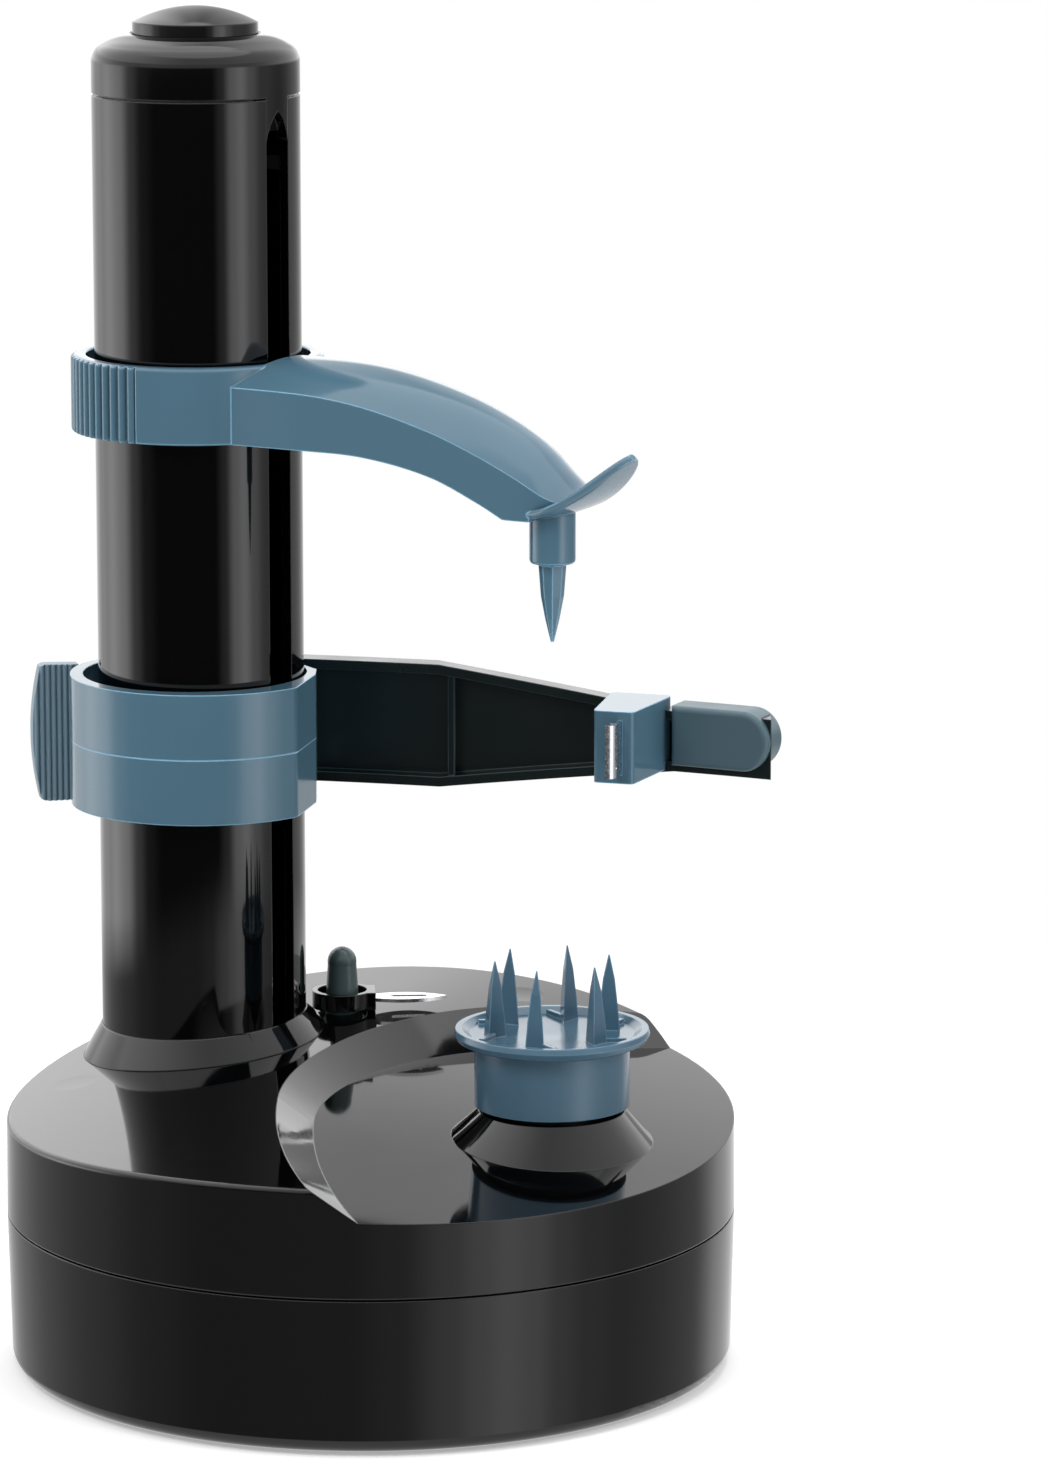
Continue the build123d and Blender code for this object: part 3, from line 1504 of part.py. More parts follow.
with BuildPart() as top_holder:
    for distance, half, low, edge, crown in arm_sections:
        place = polar(column, distance, slot_angle)
        section = Plane(origin=(place[0], place[1], 0), x_dir=across_arm, z_dir=along_arm)
        with BuildSketch(section):
            with BuildLine():
                Polyline((-half, edge), (-half, low), (half, low), (half, edge))
                ThreePointArc((half, edge), (0, edge + crown), (-half, edge))
            make_face()
    loft()
    disc(column, collar_radius, collar_bottom, collar_top)
    # upturned finger lip
    lip_side = Plane(
        origin=(column[0], column[1], 0),
        x_dir=along_arm,
        z_dir=(-across_arm[0], -across_arm[1], 0),
    )
    with BuildPart(mode=Mode.PRIVATE) as lip:
        with BuildSketch(lip_side):
            with BuildLine():
                ThreePointArc(lip_root, lip_under_middle, lip_under_end)
                Line(lip_under_end, lip_upper_end)
                ThreePointArc(lip_upper_end, lip_upper_middle, lip_upper_root)
                Line(lip_upper_root, lip_root)
            make_face()
        extrude(amount=lip_width, both=True)
        with BuildSketch(level(column, lip_root[1] - 1, slot_angle)):
            with Locations((lip_under_end[0] - lip_length / 2, 0)):
                RectangleRounded(lip_length, lip_width, lip_corner)
        extrude(amount=lip_length, mode=Mode.INTERSECT)
    add(lip.part)
    turn(
        [
            (0, boss_bottom),
            (boss_radius - 1.8, boss_bottom),
            (boss_radius, boss_bottom + boss_bevel),
            (boss_radius, boss_top),
            (0, boss_top),
        ],
        food,
    )
    disc(food, spike_bore, boss_bottom - 1, spike_top + 0.3, Mode.SUBTRACT)
    disc(column, collar_bore, collar_bottom - 5, collar_top + 5, Mode.SUBTRACT)
    for lip_floor in (collar_bottom, collar_top - 7):
        ring(column, collar_bore + 0.1, collar_lip, lip_floor, lip_floor + collar_lip_height)
    with BuildSketch(level(column, collar_bottom)):
        rib_sweep = rib_pitch * rib_count
        with PolarLocations(collar_radius - 0.1, rib_count, rib_start, rib_sweep):
            Circle(rib_depth / 2 + 0.15)
    extrude(amount=collar_height)
finish(top_holder, "top_holder")

with BuildPart() as friction_pads:
    with BuildSketch(level(column, collar_bottom + 3.2)):
        with PolarLocations(column_radius + 0.95, 3, start_angle=slot_angle + 60):
            Rectangle(1.4, 7)
        Circle(collar_bore, mode=Mode.INTERSECT)
        Circle(column_radius + 0.15, mode=Mode.SUBTRACT)
    extrude(amount=6)
finish(friction_pads, "friction_pads")

spike_sections = (
    (spike_radius, boss_bottom - 0.4),
    (2.45, boss_bottom - 7),
    (1.5, boss_bottom - 12),
    (0.35, spike_tip),
)
with BuildPart() as center_spike:
    disc(food, spike_radius, boss_bottom - 0.4, spike_top)
    with BuildPart(mode=Mode.PRIVATE) as point:
        for radius, height in spike_sections:
            with BuildSketch(level(food, height)):
                RegularPolygon(radius, 8)
        loft(ruled=True)
    add(point.part)
finish(center_spike, "center_spike")

# ---------------------------------------------------------------- thumb knife

post = shifted(post_offset)
with BuildPart() as storage_post:
    post_shoulder = post_top - post_top_radius - 0.6
    turn(
        [
            (0, column_foot),
            (post_radius, column_foot),
            (post_radius, knife_ring_bottom),
            (post_top_radius, post_shoulder),
            (0, post_shoulder),
        ],
        post,
    )
    with BuildSketch(upright(post)) as nose:
        with BuildLine():
            Line((0, post_shoulder), (post_top_radius, post_shoulder))
            ThreePointArc(
                (post_top_radius, post_shoulder),
                (post_top_radius * 0.72, post_top - 1.0),
                (0, post_top),
            )
            Line((0, post_top), (0, post_shoulder))
        make_face()
    revolve(axis=Axis((post[0], post[1], 0), (0, 0, 1)))
    add(deck_block(), mode=Mode.SUBTRACT)
finish(storage_post, "storage_post")

with BuildPart() as thumb_knife_ring:
    with BuildSketch(level(post, knife_ring_bottom, 3)):
        Circle(knife_ring_radius)
        with Locations((knife_ring_radius - 2.0, 0)):
            Rectangle(5.4, 8)
        Circle(knife_ring_bore, mode=Mode.SUBTRACT)
    extrude(amount=knife_ring_height)
finish(thumb_knife_ring, "thumb_knife_ring")

with BuildPart() as thumb_knife_blade:
    with BuildSketch(level(post, knife_ring_bottom + 1.4, 3)):
        with BuildLine():
            root = knife_ring_radius + 0.7
            ThreePointArc((root, -2.2), (root + 8, -3.4), (root + 16, 0))
            ThreePointArc((root + 16, 0), (root + 8, 3.4), (root, 2.2))
            Line((root, 2.2), (root, -2.2))
        make_face()
        with Locations((root + 7.5, 0)):
            SlotOverall(8, 1.6, mode=Mode.SUBTRACT)
    extrude(amount=0.8)
finish(thumb_knife_blade, "thumb_knife_blade")
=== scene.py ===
import json
import math

import bmesh
import bpy
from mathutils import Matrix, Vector


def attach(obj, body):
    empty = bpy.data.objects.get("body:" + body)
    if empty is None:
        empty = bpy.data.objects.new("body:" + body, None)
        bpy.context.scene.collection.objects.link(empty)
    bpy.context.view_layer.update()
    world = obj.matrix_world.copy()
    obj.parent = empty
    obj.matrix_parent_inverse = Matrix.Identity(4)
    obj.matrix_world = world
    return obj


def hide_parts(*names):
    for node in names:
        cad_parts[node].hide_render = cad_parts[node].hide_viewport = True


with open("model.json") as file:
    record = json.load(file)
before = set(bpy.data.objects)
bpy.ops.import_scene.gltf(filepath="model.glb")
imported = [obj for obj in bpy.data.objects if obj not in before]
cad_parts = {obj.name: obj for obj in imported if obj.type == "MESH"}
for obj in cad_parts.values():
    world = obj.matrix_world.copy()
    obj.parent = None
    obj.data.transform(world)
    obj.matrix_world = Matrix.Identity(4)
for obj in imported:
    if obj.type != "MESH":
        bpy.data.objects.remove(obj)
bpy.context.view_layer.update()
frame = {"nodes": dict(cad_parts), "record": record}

record = frame["record"]
nodes = frame["nodes"]
slot_of = {row["node"]: row["material_slot"] for row in record["subparts"]}
colour_of = {row["slot"]: row["base_color"] for row in record["materials"]}
# the outside's colours are matched to the photo in this scene's light; the rest are the record's
colour_of.update({
    "black_gloss": (0.0012, 0.0012, 0.0014),
    "slate_gloss": (0.072, 0.152, 0.212),
    "slate_tab": (0.135, 0.210, 0.260),
    "arm_green": (0.0045, 0.010, 0.011),
    "tip_slate": (0.060, 0.112, 0.140),
    "post_green": (0.050, 0.080, 0.085),
    "holder_blue": (0.066, 0.136, 0.198),
    "black_matte": (0.012, 0.012, 0.013),
})

# shapes are given in mm, and the sizes in shading and in the studio in metres
MM = 0.001
WHITE = (1.0, 1.0, 1.0, 1.0)

# ---------------------------------------------------------------- shading helpers


class Tree:
    """A node tree that is built up call by call."""

    def __init__(self, tree):
        self.tree = tree

    def node(self, kind, settings=None, **inputs):
        made = self.tree.nodes.new(kind)
        for key, value in (settings or {}).items():
            setattr(made, key, value)
        for key, value in inputs.items():
            self.put(made.inputs[key.replace("_", " ")], value)
        return made

    def put(self, socket, value):
        if isinstance(value, bpy.types.NodeSocket):
            self.tree.links.new(value, socket)
        else:
            socket.default_value = value

    def filled(self, kind, settings, *values):
        """The first output of a node whose first inputs are given in order."""
        made = self.node(kind, settings)
        for socket, value in zip(made.inputs, values):
            self.put(socket, value)
        return made.outputs[0]

    def maths(self, operation, a, b):
        return self.filled("ShaderNodeMath", {"operation": operation}, a, b)

    def either(self, factor, first, second):
        """One shader at factor 0 and the other at factor 1."""
        return self.filled("ShaderNodeMixShader", None, factor, first, second)

    def ranged(self, value, low, high, to_low=0.0, to_high=1.0):
        return self.node(
            "ShaderNodeMapRange", Value=value, From_Min=low, From_Max=high, To_Min=to_low, To_Max=to_high
        ).outputs["Result"]

    def mixed(self, factor, a, b):
        made = self.node("ShaderNodeMix", {"data_type": "RGBA"})
        for socket, value in (("Factor", factor), ("A", a), ("B", b)):
            self.put(made.inputs[socket], value)
        return made.outputs["Result"]

    def object_place(self):
        """Object coordinates, which move with the piece."""
        return self.node("ShaderNodeTexCoord").outputs["Object"]

    def noise(self, size, detail, stretch=(1, 1, 1)):
        """Noise whose features are about size metres across."""
        place = self.node("ShaderNodeMapping", Vector=self.object_place(), Scale=stretch).outputs["Vector"]
        return self.node("ShaderNodeTexNoise", Vector=place, Scale=1 / size, Detail=detail).outputs["Fac"]


class Shader(Tree):
    """A material with one Principled shader."""

    def __init__(self, name, **sockets):
        self.material = bpy.data.materials.new(name)
        self.material.use_nodes = True
        super().__init__(self.material.node_tree)
        self.bsdf = self.tree.nodes["Principled BSDF"]
        for socket, value in sockets.items():
            self.set(socket.replace("_", " "), value)

    def set(self, socket, value):
        self.put(self.bsdf.inputs[socket], value)

    def surface(self, shader):
        """Another shader in the place of the Principled one."""
        self.put(self.tree.nodes["Material Output"].inputs["Surface"], shader)


def rgba(colour, gain=1.0):
    return (colour[0] * gain, colour[1] * gain, colour[2] * gain, 1.0)


# ---------------------------------------------------------------- materials

EDGE_RADIUS = 0.4 * MM
EDGE_SAMPLES = 6
# how far the softened normal agrees with the true one, for the painted edge highlight: on a flat face, and
# well round an edge
EDGE_BEND = (0.995, 0.93)
HOLLOW_SAMPLES = 4
# how open a point is, for the painted shade: deep in a groove and out of it; then, for the painted edge
# highlight, in a corner and on an outer edge
GROOVE_OPENNESS = (0.35, 0.85)
OUTER_OPENNESS = (0.72, 0.92)
# share of the colour left in the painted shade of grooves and inner corners
GROOVE_SHADE_TONE = 0.22
TONE_DRIFT = 0.06
DRIFT_SIZE = 0.035
SMEAR_SIZE = 0.012
SMEAR_STRETCH = (1, 1, 0.4)
SMEAR_RANGE = (0.35, 0.7)
LINE_SIZE = 0.0006
LINE_RANGE = (0.3, 0.7)
LINE_ROUGHNESS = 0.14
CLOUD_SIZE = 0.008
CLOUD_TONES = (0.92, 1.04)

materials = {}


def moulded(name, rough, spread, grain, depth, highlight_gain=1.0, shade=0.0):
    """Moulded plastic: a faint drift of tone, handled gloss, a fine surface grain, softened edges with
    painted highlights and painted shade in grooves.
    """
    colour = colour_of[name]
    made = Shader(name)
    edge = made.node("ShaderNodeBevel", {"samples": EDGE_SAMPLES}, Radius=EDGE_RADIUS).outputs["Normal"]
    drift = made.noise(DRIFT_SIZE, 3.0)
    body = made.mixed(drift, rgba(colour, 1 - TONE_DRIFT), rgba(colour, 1 + TONE_DRIFT))
    if shade > 0.0:
        # painted shade: grooves and inner corners are darkened in the colour by how open they are, as they
        # gather less light
        local = {"samples": HOLLOW_SAMPLES, "only_local": True}
        openness = made.node("ShaderNodeAmbientOcclusion", local, Distance=shade * MM).outputs["AO"]
        body = made.mixed(made.ranged(openness, *GROOVE_OPENNESS), rgba(colour, GROOVE_SHADE_TONE), body)
    if highlight_gain > 1.0:
        # painted highlight: the rounded outer edges are lightened in the colour, where they would catch the
        # light
        bend = made.node("ShaderNodeVectorMath", {"operation": "DOT_PRODUCT"})
        made.put(bend.inputs[0], edge)
        made.put(bend.inputs[1], made.node("ShaderNodeNewGeometry").outputs["Normal"])
        edge_highlight = made.ranged(bend.outputs["Value"], *EDGE_BEND)
        if shade > 0.0:
            edge_highlight = made.maths("MULTIPLY", edge_highlight, made.ranged(openness, *OUTER_OPENNESS))
        body = made.mixed(edge_highlight, body, rgba(colour, highlight_gain))
    made.set("Base Color", body)
    smear = made.noise(SMEAR_SIZE, 4.0, SMEAR_STRETCH)
    made.set("Roughness", made.ranged(smear, *SMEAR_RANGE, rough, rough + spread))
    height = made.noise(grain, 2.0)
    fine = made.node("ShaderNodeBump", Height=height, Distance=depth, Strength=1.0, Normal=edge)
    made.set("Normal", fine.outputs["Normal"])
    materials[name] = made.material


def metal(name, rough, stretch, depth):
    """Metal with fine drawn or ground lines."""
    colour = colour_of[name]
    made = Shader(name, Metallic=1.0)
    lines = made.noise(LINE_SIZE, 3.0, stretch)
    cloud = made.noise(CLOUD_SIZE, 3.0)
    made.set("Base Color", made.mixed(cloud, *(rgba(colour, tone) for tone in CLOUD_TONES)))
    made.set("Roughness", made.ranged(lines, *LINE_RANGE, rough, rough + LINE_ROUGHNESS))
    fine = made.node("ShaderNodeBump", Height=lines, Distance=depth, Strength=1.0)
    made.set("Normal", fine.outputs["Normal"])
    materials[name] = made.material


# the gains lighten rounded edges as a painted highlight, and a shade reach darkens grooves as painted shade
moulded("black_gloss", rough=0.035, spread=0.03, grain=0.02, depth=0.000006)
moulded("slate_gloss", rough=0.10, spread=0.04, grain=0.0006, depth=0.000003, highlight_gain=4.0, shade=1.2)
moulded("slate_tab", rough=0.30, spread=0.08, grain=0.0006, depth=0.000010, highlight_gain=1.8)
moulded("arm_green", rough=0.22, spread=0.06, grain=0.0008, depth=0.000008, highlight_gain=5.0)
moulded("tip_slate", rough=0.35, spread=0.08, grain=0.0006, depth=0.000010)
moulded("post_green", rough=0.28, spread=0.08, grain=0.0008, depth=0.000010)
moulded("holder_blue", rough=0.16, spread=0.06, grain=0.0006, depth=0.000005, highlight_gain=2.0)
moulded("black_matte", rough=0.55, spread=0.15, grain=0.0007, depth=0.00003)
for nylon in ("gear_nylon", "grey_nylon"):
    moulded(nylon, rough=0.42, spread=0.12, grain=0.0009, depth=0.00001)
moulded("rubber", rough=0.75, spread=0.12, grain=0.0005, depth=0.00003)
moulded("board_green", rough=0.35, spread=0.12, grain=0.0015, depth=0.00002)
moulded("cell_jacket", rough=0.25, spread=0.1, grain=0.002, depth=0.00001)
for wire in ("wire_red", "wire_grey"):
    moulded(wire, rough=0.4, spread=0.1, grain=0.001, depth=0.00001)
metal("steel", rough=0.22, stretch=(1, 1, 0.1), depth=0.000004)
metal("blade_steel", rough=0.16, stretch=(1, 0.1, 1), depth=0.000004)
metal("zinc", rough=0.32, stretch=(1, 1, 1), depth=0.000006)
metal("brass", rough=0.25, stretch=(1, 1, 0.2), depth=0.000005)

for name, node in nodes.items():
    node.data.materials.clear()
    node.data.materials.append(materials[slot_of[name]])

# ---------------------------------------------------------------- mesh helpers

COLUMN = (-43.05, 35.0)
FOOD = (33.85, -21.0)
BODY_OF = {node: body for body, members in record["behaviour"]["bodies"].items() for node in members}
CORNER_STEPS = 3
# a corner is rounded over this share of its shorter side at most
CORNER_SHARE = 0.45
STRAIGHT_ANGLE = math.radians(176)
SHARP_ANGLE = math.radians(32)
MERGE_DISTANCE = 0.001 * MM


def smoothed(stations, at):
    """Values of a table of stations (place, value, ...) at a place, on a smooth curve through them."""
    last = len(stations) - 1
    for i in range(last):
        if at <= stations[i + 1][0] or i == last - 1:
            break
    span = stations[i + 1][0] - stations[i][0]
    u = (at - stations[i][0]) / span

    def slope(k, column):
        low, high = max(k - 1, 0), min(k + 1, last)
        return (stations[high][column] - stations[low][column]) / (stations[high][0] - stations[low][0])

    values = []
    for column in range(1, len(stations[0])):
        start, end = stations[i][column], stations[i + 1][column]
        m0, m1 = slope(i, column) * span, slope(i + 1, column) * span
        values.append(
            (2 * u ** 3 - 3 * u ** 2 + 1) * start + (u ** 3 - 2 * u ** 2 + u) * m0
            + (3 * u ** 2 - 2 * u ** 3) * end + (u ** 3 - u ** 2) * m1
        )
    return values


def rounded(corners):
    """A closed outline with its corners rounded; each corner is (x, y, radius)."""
    out = []
    for i, (x, y, radius) in enumerate(corners):
        here = Vector((x, y))
        before = Vector(corners[i - 1][:2]) - here
        after = Vector(corners[(i + 1) % len(corners)][:2]) - here
        bend = before.angle(after)
        if radius <= 0 or bend > STRAIGHT_ANGLE:
            out.append(tuple(here))
            continue
        reach = min(radius / math.tan(bend / 2), before.length * CORNER_SHARE, after.length * CORNER_SHARE)
        start = here + before.normalized() * reach
        end = here + after.normalized() * reach
        for step in range(CORNER_STEPS + 1):
            u = step / CORNER_STEPS
            out.append(tuple(start * (1 - u) ** 2 + here * 2 * u * (1 - u) + end * u ** 2))
    return out


def skin(made, rows, ring=False, caps=True):
    """Faces between closed rows of points; the last row may join the first, or the ends may be capped."""
    verts = [[made.verts.new(Vector(point) * MM) for point in row] for row in rows]
    last = len(verts) if ring else len(verts) - 1
    for i in range(last):
        here, there = verts[i], verts[(i + 1) % len(verts)]
        for j in range(len(here)):
            k = (j + 1) % len(here)
            made.faces.new((here[j], here[k], there[k], there[j]))
    if caps and not ring:
        made.faces.new(verts[0])
        made.faces.new(verts[-1])
    return verts


def turned(made, profile, centre, steps, swell=None):
    """A closed profile of (radius, height) turned round an upright axis; swell alters a radius by heading."""
    rows = []
    for step in range(steps):
        angle = 2 * math.pi * step / steps
        row = []
        for radius, height in profile:
            if swell:
                radius = swell(radius, math.degrees(angle))
            row.append((centre[0] + radius * math.cos(angle), centre[1] + radius * math.sin(angle), height))
        rows.append(row)
    skin(made, rows, ring=True)


def piece_of(name, made, slot, body, replaced=()):
    """A finished mesh as a piece of the object that rides on a body."""
    bmesh.ops.remove_doubles(made, verts=made.verts[:], dist=MERGE_DISTANCE)
    bmesh.ops.recalc_face_normals(made, faces=made.faces[:])
    for face in made.faces:
        face.smooth = True
    for edge in made.edges:
        edge.smooth = len(edge.link_faces) != 2 or edge.calc_face_angle() < SHARP_ANGLE
    mesh = bpy.data.meshes.new(name)
    made.to_mesh(mesh)
    made.free()
    piece = bpy.data.objects.new(name, mesh)
    bpy.context.scene.collection.objects.link(piece)
    mesh.materials.append(materials[slot])
    weights = piece.modifiers.new("flat_sides", "WEIGHTED_NORMAL")
    weights.weight = 60
    weights.keep_sharp = True
    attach(piece, body)
    if replaced:
        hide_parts(*replaced)


# ---------------------------------------------------------------- top holder

HOLDER_HEADING = math.atan2(FOOD[1] - COLUMN[1], FOOD[0] - COLUMN[0])

COLLAR_RADIUS = 27.4
COLLAR_BORE = 24.4
COLLAR_BOTTOM = 198.8
COLLAR_TOP = 215.5
COLLAR_STEPS = 900
# the collar's top edge slopes in
RIM_INSET = 0.9
RIM_DROP = 0.4
# headings in degrees round the column; the ribs are on the outer wall alone
RIB_PITCH = 5.1
RIB_COUNT = 18
RIB_FIRST = 151.05
RIB_LAST = RIB_FIRST + RIB_COUNT * RIB_PITCH
RIB_DEPTH = 1.1
RIB_ROUNDNESS = 0.7
RIB_MIDDLE = 0.7
RIB_WALL = COLLAR_RADIUS - 0.4
# two narrow bands in the bore slide on the tower
BAND_BORE = 23.0
BAND_OUTSIDE = COLLAR_BORE + 0.2
BAND_HEIGHT = 3.0
BAND_BOTTOMS = (COLLAR_BOTTOM + 0.4, COLLAR_TOP - 7.0)
BAND_STEPS = 120

# distance along the arm, half width, height of the crease, rise of the crown
ARM_STATIONS = (
    (18.0, 17.4, 211.3, 5.2), (40.0, 14.8, 211.1, 5.8), (55.0, 13.0, 209.3, 6.3), (71.0, 11.2, 205.3, 6.9),
    (83.0, 9.9, 200.9, 7.2), (92.0, 9.0, 196.9, 6.6), (99.0, 7.7, 193.2, 4.6), (103.0, 6.6, 192.4, 2.2),
    (106.0, 5.4, 193.4, 0.8),
)
# distance along the arm, height; its end is cut level over the boss
ARM_UNDERSIDE = (
    (18.0, 198.8), (40.0, 199.0), (55.0, 198.6), (71.0, 195.7), (83.0, 190.9), (92.0, 186.4), (99.0, 183.0),
)
ARM_FLAT = 188.0
ARM_POINTS = 13
CROWN_POWER = 2.2
# rows of the arm's skin: even ones from the root, then closer ones where it turns into the lip
ARM_ROOT = 25.8
ARM_ROW_STEP = 1.6
ARM_EVEN_ROWS = 39
ARM_END_ROWS = (88.2, 88.7, 90, 92, 94, 95, 95.2, 96, 97.5, 99, 100, 101, 102, 103, 104, 105, 106)
# the first rows follow the collar's wall, inside it, and straighten out over this distance
ROOT_WALL = COLLAR_RADIUS - 1.4
ROOT_BLEND = 14.0

# the finger lip's outer face rises along the arm's line
LIP_RISE = ((90.0, 188.2), (95.0, 188.2), (100.0, 189.4), (105.0, 192.1), (110.0, 195.9), (117.0, 202.6))
LIP_JOIN = 95.0
LIP_COVER = 0.6
LIP_ROOT = 93.0
LIP_MIDDLE = 90.3
LIP_LENGTH = 26.0
LIP_HALF = 11.3
LIP_THICKNESS = 1.7
LIP_ROOT_HALF = 8.1
LIP_FLARE = 0.3
LIP_TIP_HALF = 0.15
LIP_ROWS = 30
LIP_COLUMNS = 15
LIP_EDGE_STEPS = 6
SLOPE_STEP = 0.2
# the lip's sides stand this much higher than its middle, at this distance from it
SADDLE_RISE = 0.5
SADDLE_HALF = 9.0

BOSS_RADIUS = 4.9
BOSS_BOTTOM = 178.3
BOSS_TOP = 191.0
BOSS_EDGE = 0.9
BOSS_STEPS = 64


def on_arm(along, across, height):
    """A point given along and across the arm from the tower's axis."""
    cos, sin = math.cos(HOLDER_HEADING), math.sin(HOLDER_HEADING)
    return (COLUMN[0] + along * cos - across * sin, COLUMN[1] + along * sin + across * cos, height)


def ribbed(radius, heading):
    """The collar's radius with its grip of upright ribs."""
    if radius < RIB_WALL or not RIB_FIRST <= heading <= RIB_LAST:
        return radius
    phase = (heading - RIB_FIRST) / RIB_PITCH * math.pi
    return radius + RIB_DEPTH * (abs(math.sin(phase)) ** RIB_ROUNDNESS - RIB_MIDDLE)


def add_collar(made):
    """The ring round the tower, with its ribs outside and its two bands inside."""
    profile = rounded([
        (COLLAR_BORE, COLLAR_BOTTOM, 0.3), (COLLAR_RADIUS, COLLAR_BOTTOM, 0.7),
        (COLLAR_RADIUS, COLLAR_TOP - RIM_DROP, 0.9), (COLLAR_RADIUS - RIM_INSET, COLLAR_TOP, 0.5),
        (COLLAR_BORE, COLLAR_TOP, 0.4),
    ])
    turned(made, profile, COLUMN, COLLAR_STEPS, ribbed)
    for low in BAND_BOTTOMS:
        high = low + BAND_HEIGHT
        band = [(BAND_BORE, low), (BAND_OUTSIDE, low), (BAND_OUTSIDE, high), (BAND_BORE, high)]
        turned(made, band, COLUMN, BAND_STEPS)


def arm_outline(along):
    """The arm's cross-section as (across, height): the level underside, then the crowned top."""
    half, crease, crown = smoothed(ARM_STATIONS, along)
    low = max(ARM_FLAT, smoothed(ARM_UNDERSIDE, min(along, ARM_UNDERSIDE[-1][0]))[0])
    if along > LIP_JOIN:
        low = smoothed(LIP_RISE, along)[0] + LIP_COVER
    top = []
    for step in range(ARM_POINTS):
        u = 1 - 2 * step / (ARM_POINTS - 1)
        top.append((half * u, crease + crown * (1 - abs(u) ** CROWN_POWER)))
    return [(-across, low) for across, _ in top] + top


def add_arm(made):
    """The curved arm, from inside the collar's wall to the finger lip."""
    rows = []
    places = [ARM_ROOT + i * ARM_ROW_STEP for i in range(ARM_EVEN_ROWS)]
    for along in places + list(ARM_END_ROWS):
        blend = min(max((along - ARM_ROOT) / ROOT_BLEND, 0.0), 1.0)
        blend = blend * blend * (3 - 2 * blend)
        row = []
        for across, height in arm_outline(along):
            on_wall = math.sqrt(max(ROOT_WALL ** 2 - across ** 2, 1.0)) + (along - ARM_ROOT)
            row.append(on_arm(on_wall * (1 - blend) + along * blend, across, height))
        rows.append(row)
    sides = skin(made, rows, caps=False)
    # the ends are closed in strips, because the root's end is hollow and one face would cut the tower
    for end in (sides[0], sides[-1]):
        for i in range(len(end) // 2 - 1):
            made.faces.new((end[i], end[i + 1], end[-2 - i], end[-1 - i]))


def lip_row(along):
    """The finger lip's closed cross-section, square to its slope, at a distance along the arm."""
    part = (along - LIP_MIDDLE) / LIP_LENGTH
    round_half = LIP_HALF * math.sqrt(max(1 - part ** 2, 0.0))
    half = min(round_half, LIP_ROOT_HALF + LIP_FLARE * (along - LIP_ROOT)) - LIP_THICKNESS / 2
    half = max(half, LIP_TIP_HALF)
    across = [(2 * i / (LIP_COLUMNS - 1) - 1) for i in range(LIP_COLUMNS)]
    under = [(half * u, 0.0) for u in across]
    turns = [math.pi * k / LIP_EDGE_STEPS for k in range(1, LIP_EDGE_STEPS)]
    edge = LIP_THICKNESS / 2
    right = [(half + edge * math.sin(turn), edge * (1 - math.cos(turn))) for turn in turns]
    upper = [(half * u, LIP_THICKNESS) for u in reversed(across)]
    left = [(-x, LIP_THICKNESS - z) for x, z in right]

    rise = smoothed(LIP_RISE, along)[0]
    tilt = math.atan((smoothed(LIP_RISE, along + SLOPE_STEP)[0] - rise) / SLOPE_STEP)
    row = []
    for x, lift in under + right + upper + left:
        saddle = SADDLE_RISE * (x / SADDLE_HALF) ** 2
        row.append(on_arm(along - lift * math.sin(tilt), x, rise + lift * math.cos(tilt) + saddle))
    return row


def add_lip(made):
    """The saddle-shaped finger lip, whose rows get closer towards its round tip."""
    reach = LIP_MIDDLE + LIP_LENGTH - LIP_ROOT
    rows = []
    for step in range(LIP_ROWS):
        rows.append(lip_row(LIP_ROOT + reach * math.sin(math.pi / 2 * step / (LIP_ROWS - 0.5))))
    skin(made, rows)


def add_boss(made):
    """The round boss that holds the spike, over the food's axis."""
    profile = rounded([
        (0, BOSS_BOTTOM, 0), (BOSS_RADIUS, BOSS_BOTTOM, BOSS_EDGE),
        (BOSS_RADIUS, BOSS_TOP, 0), (0, BOSS_TOP, 0),
    ])
    turned(made, profile, FOOD, BOSS_STEPS)


def top_holder():
    """The collar, arm, finger lip and boss as one moulding."""
    made = bmesh.new()
    add_collar(made)
    add_arm(made)
    add_lip(made)
    add_boss(made)
    piece_of("top_arm_moulding", made, "slate_gloss", BODY_OF["top_holder"], ("top_holder",))


top_holder()

# ---------------------------------------------------------------- floor

FLOOR_HALF = 3.0
PAPER = (0.90, 0.90, 0.90, 1.0)
PAPER_LIFT = 0.34
# the shadow fades out between these distances from the middle
SHADOW_FADE = (0.16, 0.45)


def staged(name, mesh, material):
    """Something of the studio, not of the object."""
    thing = bpy.data.objects.new(name, mesh)
    bpy.context.scene.collection.objects.link(thing)
    mesh.materials.append(material)
    return thing


def floor_material():
    """White paper that keeps the object's shadow and fades into the white backdrop."""
    made = Shader("floor_paper", Roughness=0.9, Specular_IOR_Level=0.0)
    made.set("Base Color", PAPER)
    camera_ray = made.node("ShaderNodeLightPath").outputs["Is Camera Ray"]
    gain = made.maths("MULTIPLY", camera_ray, PAPER_LIFT)
    lift = made.node("ShaderNodeEmission", Color=WHITE, Strength=gain)
    lit = made.filled("ShaderNodeAddShader", None, made.bsdf.outputs[0], lift.outputs[0])
    spot = made.node("ShaderNodeVectorMath", {"operation": "LENGTH"})
    made.put(spot.inputs[0], made.object_place())
    far = made.ranged(spot.outputs["Value"], *SHADOW_FADE)
    blank = made.node("ShaderNodeEmission", Color=WHITE, Strength=1.0)
    faded = made.either(made.maths("MULTIPLY", far, camera_ray), lit, blank.outputs[0])
    # seen from underneath, the floor doesn't hide the object
    under = made.node("ShaderNodeNewGeometry").outputs["Backfacing"]
    clear = made.node("ShaderNodeBsdfTransparent")
    made.surface(made.either(made.maths("MULTIPLY", under, camera_ray), faded, clear.outputs[0]))
    return made.material


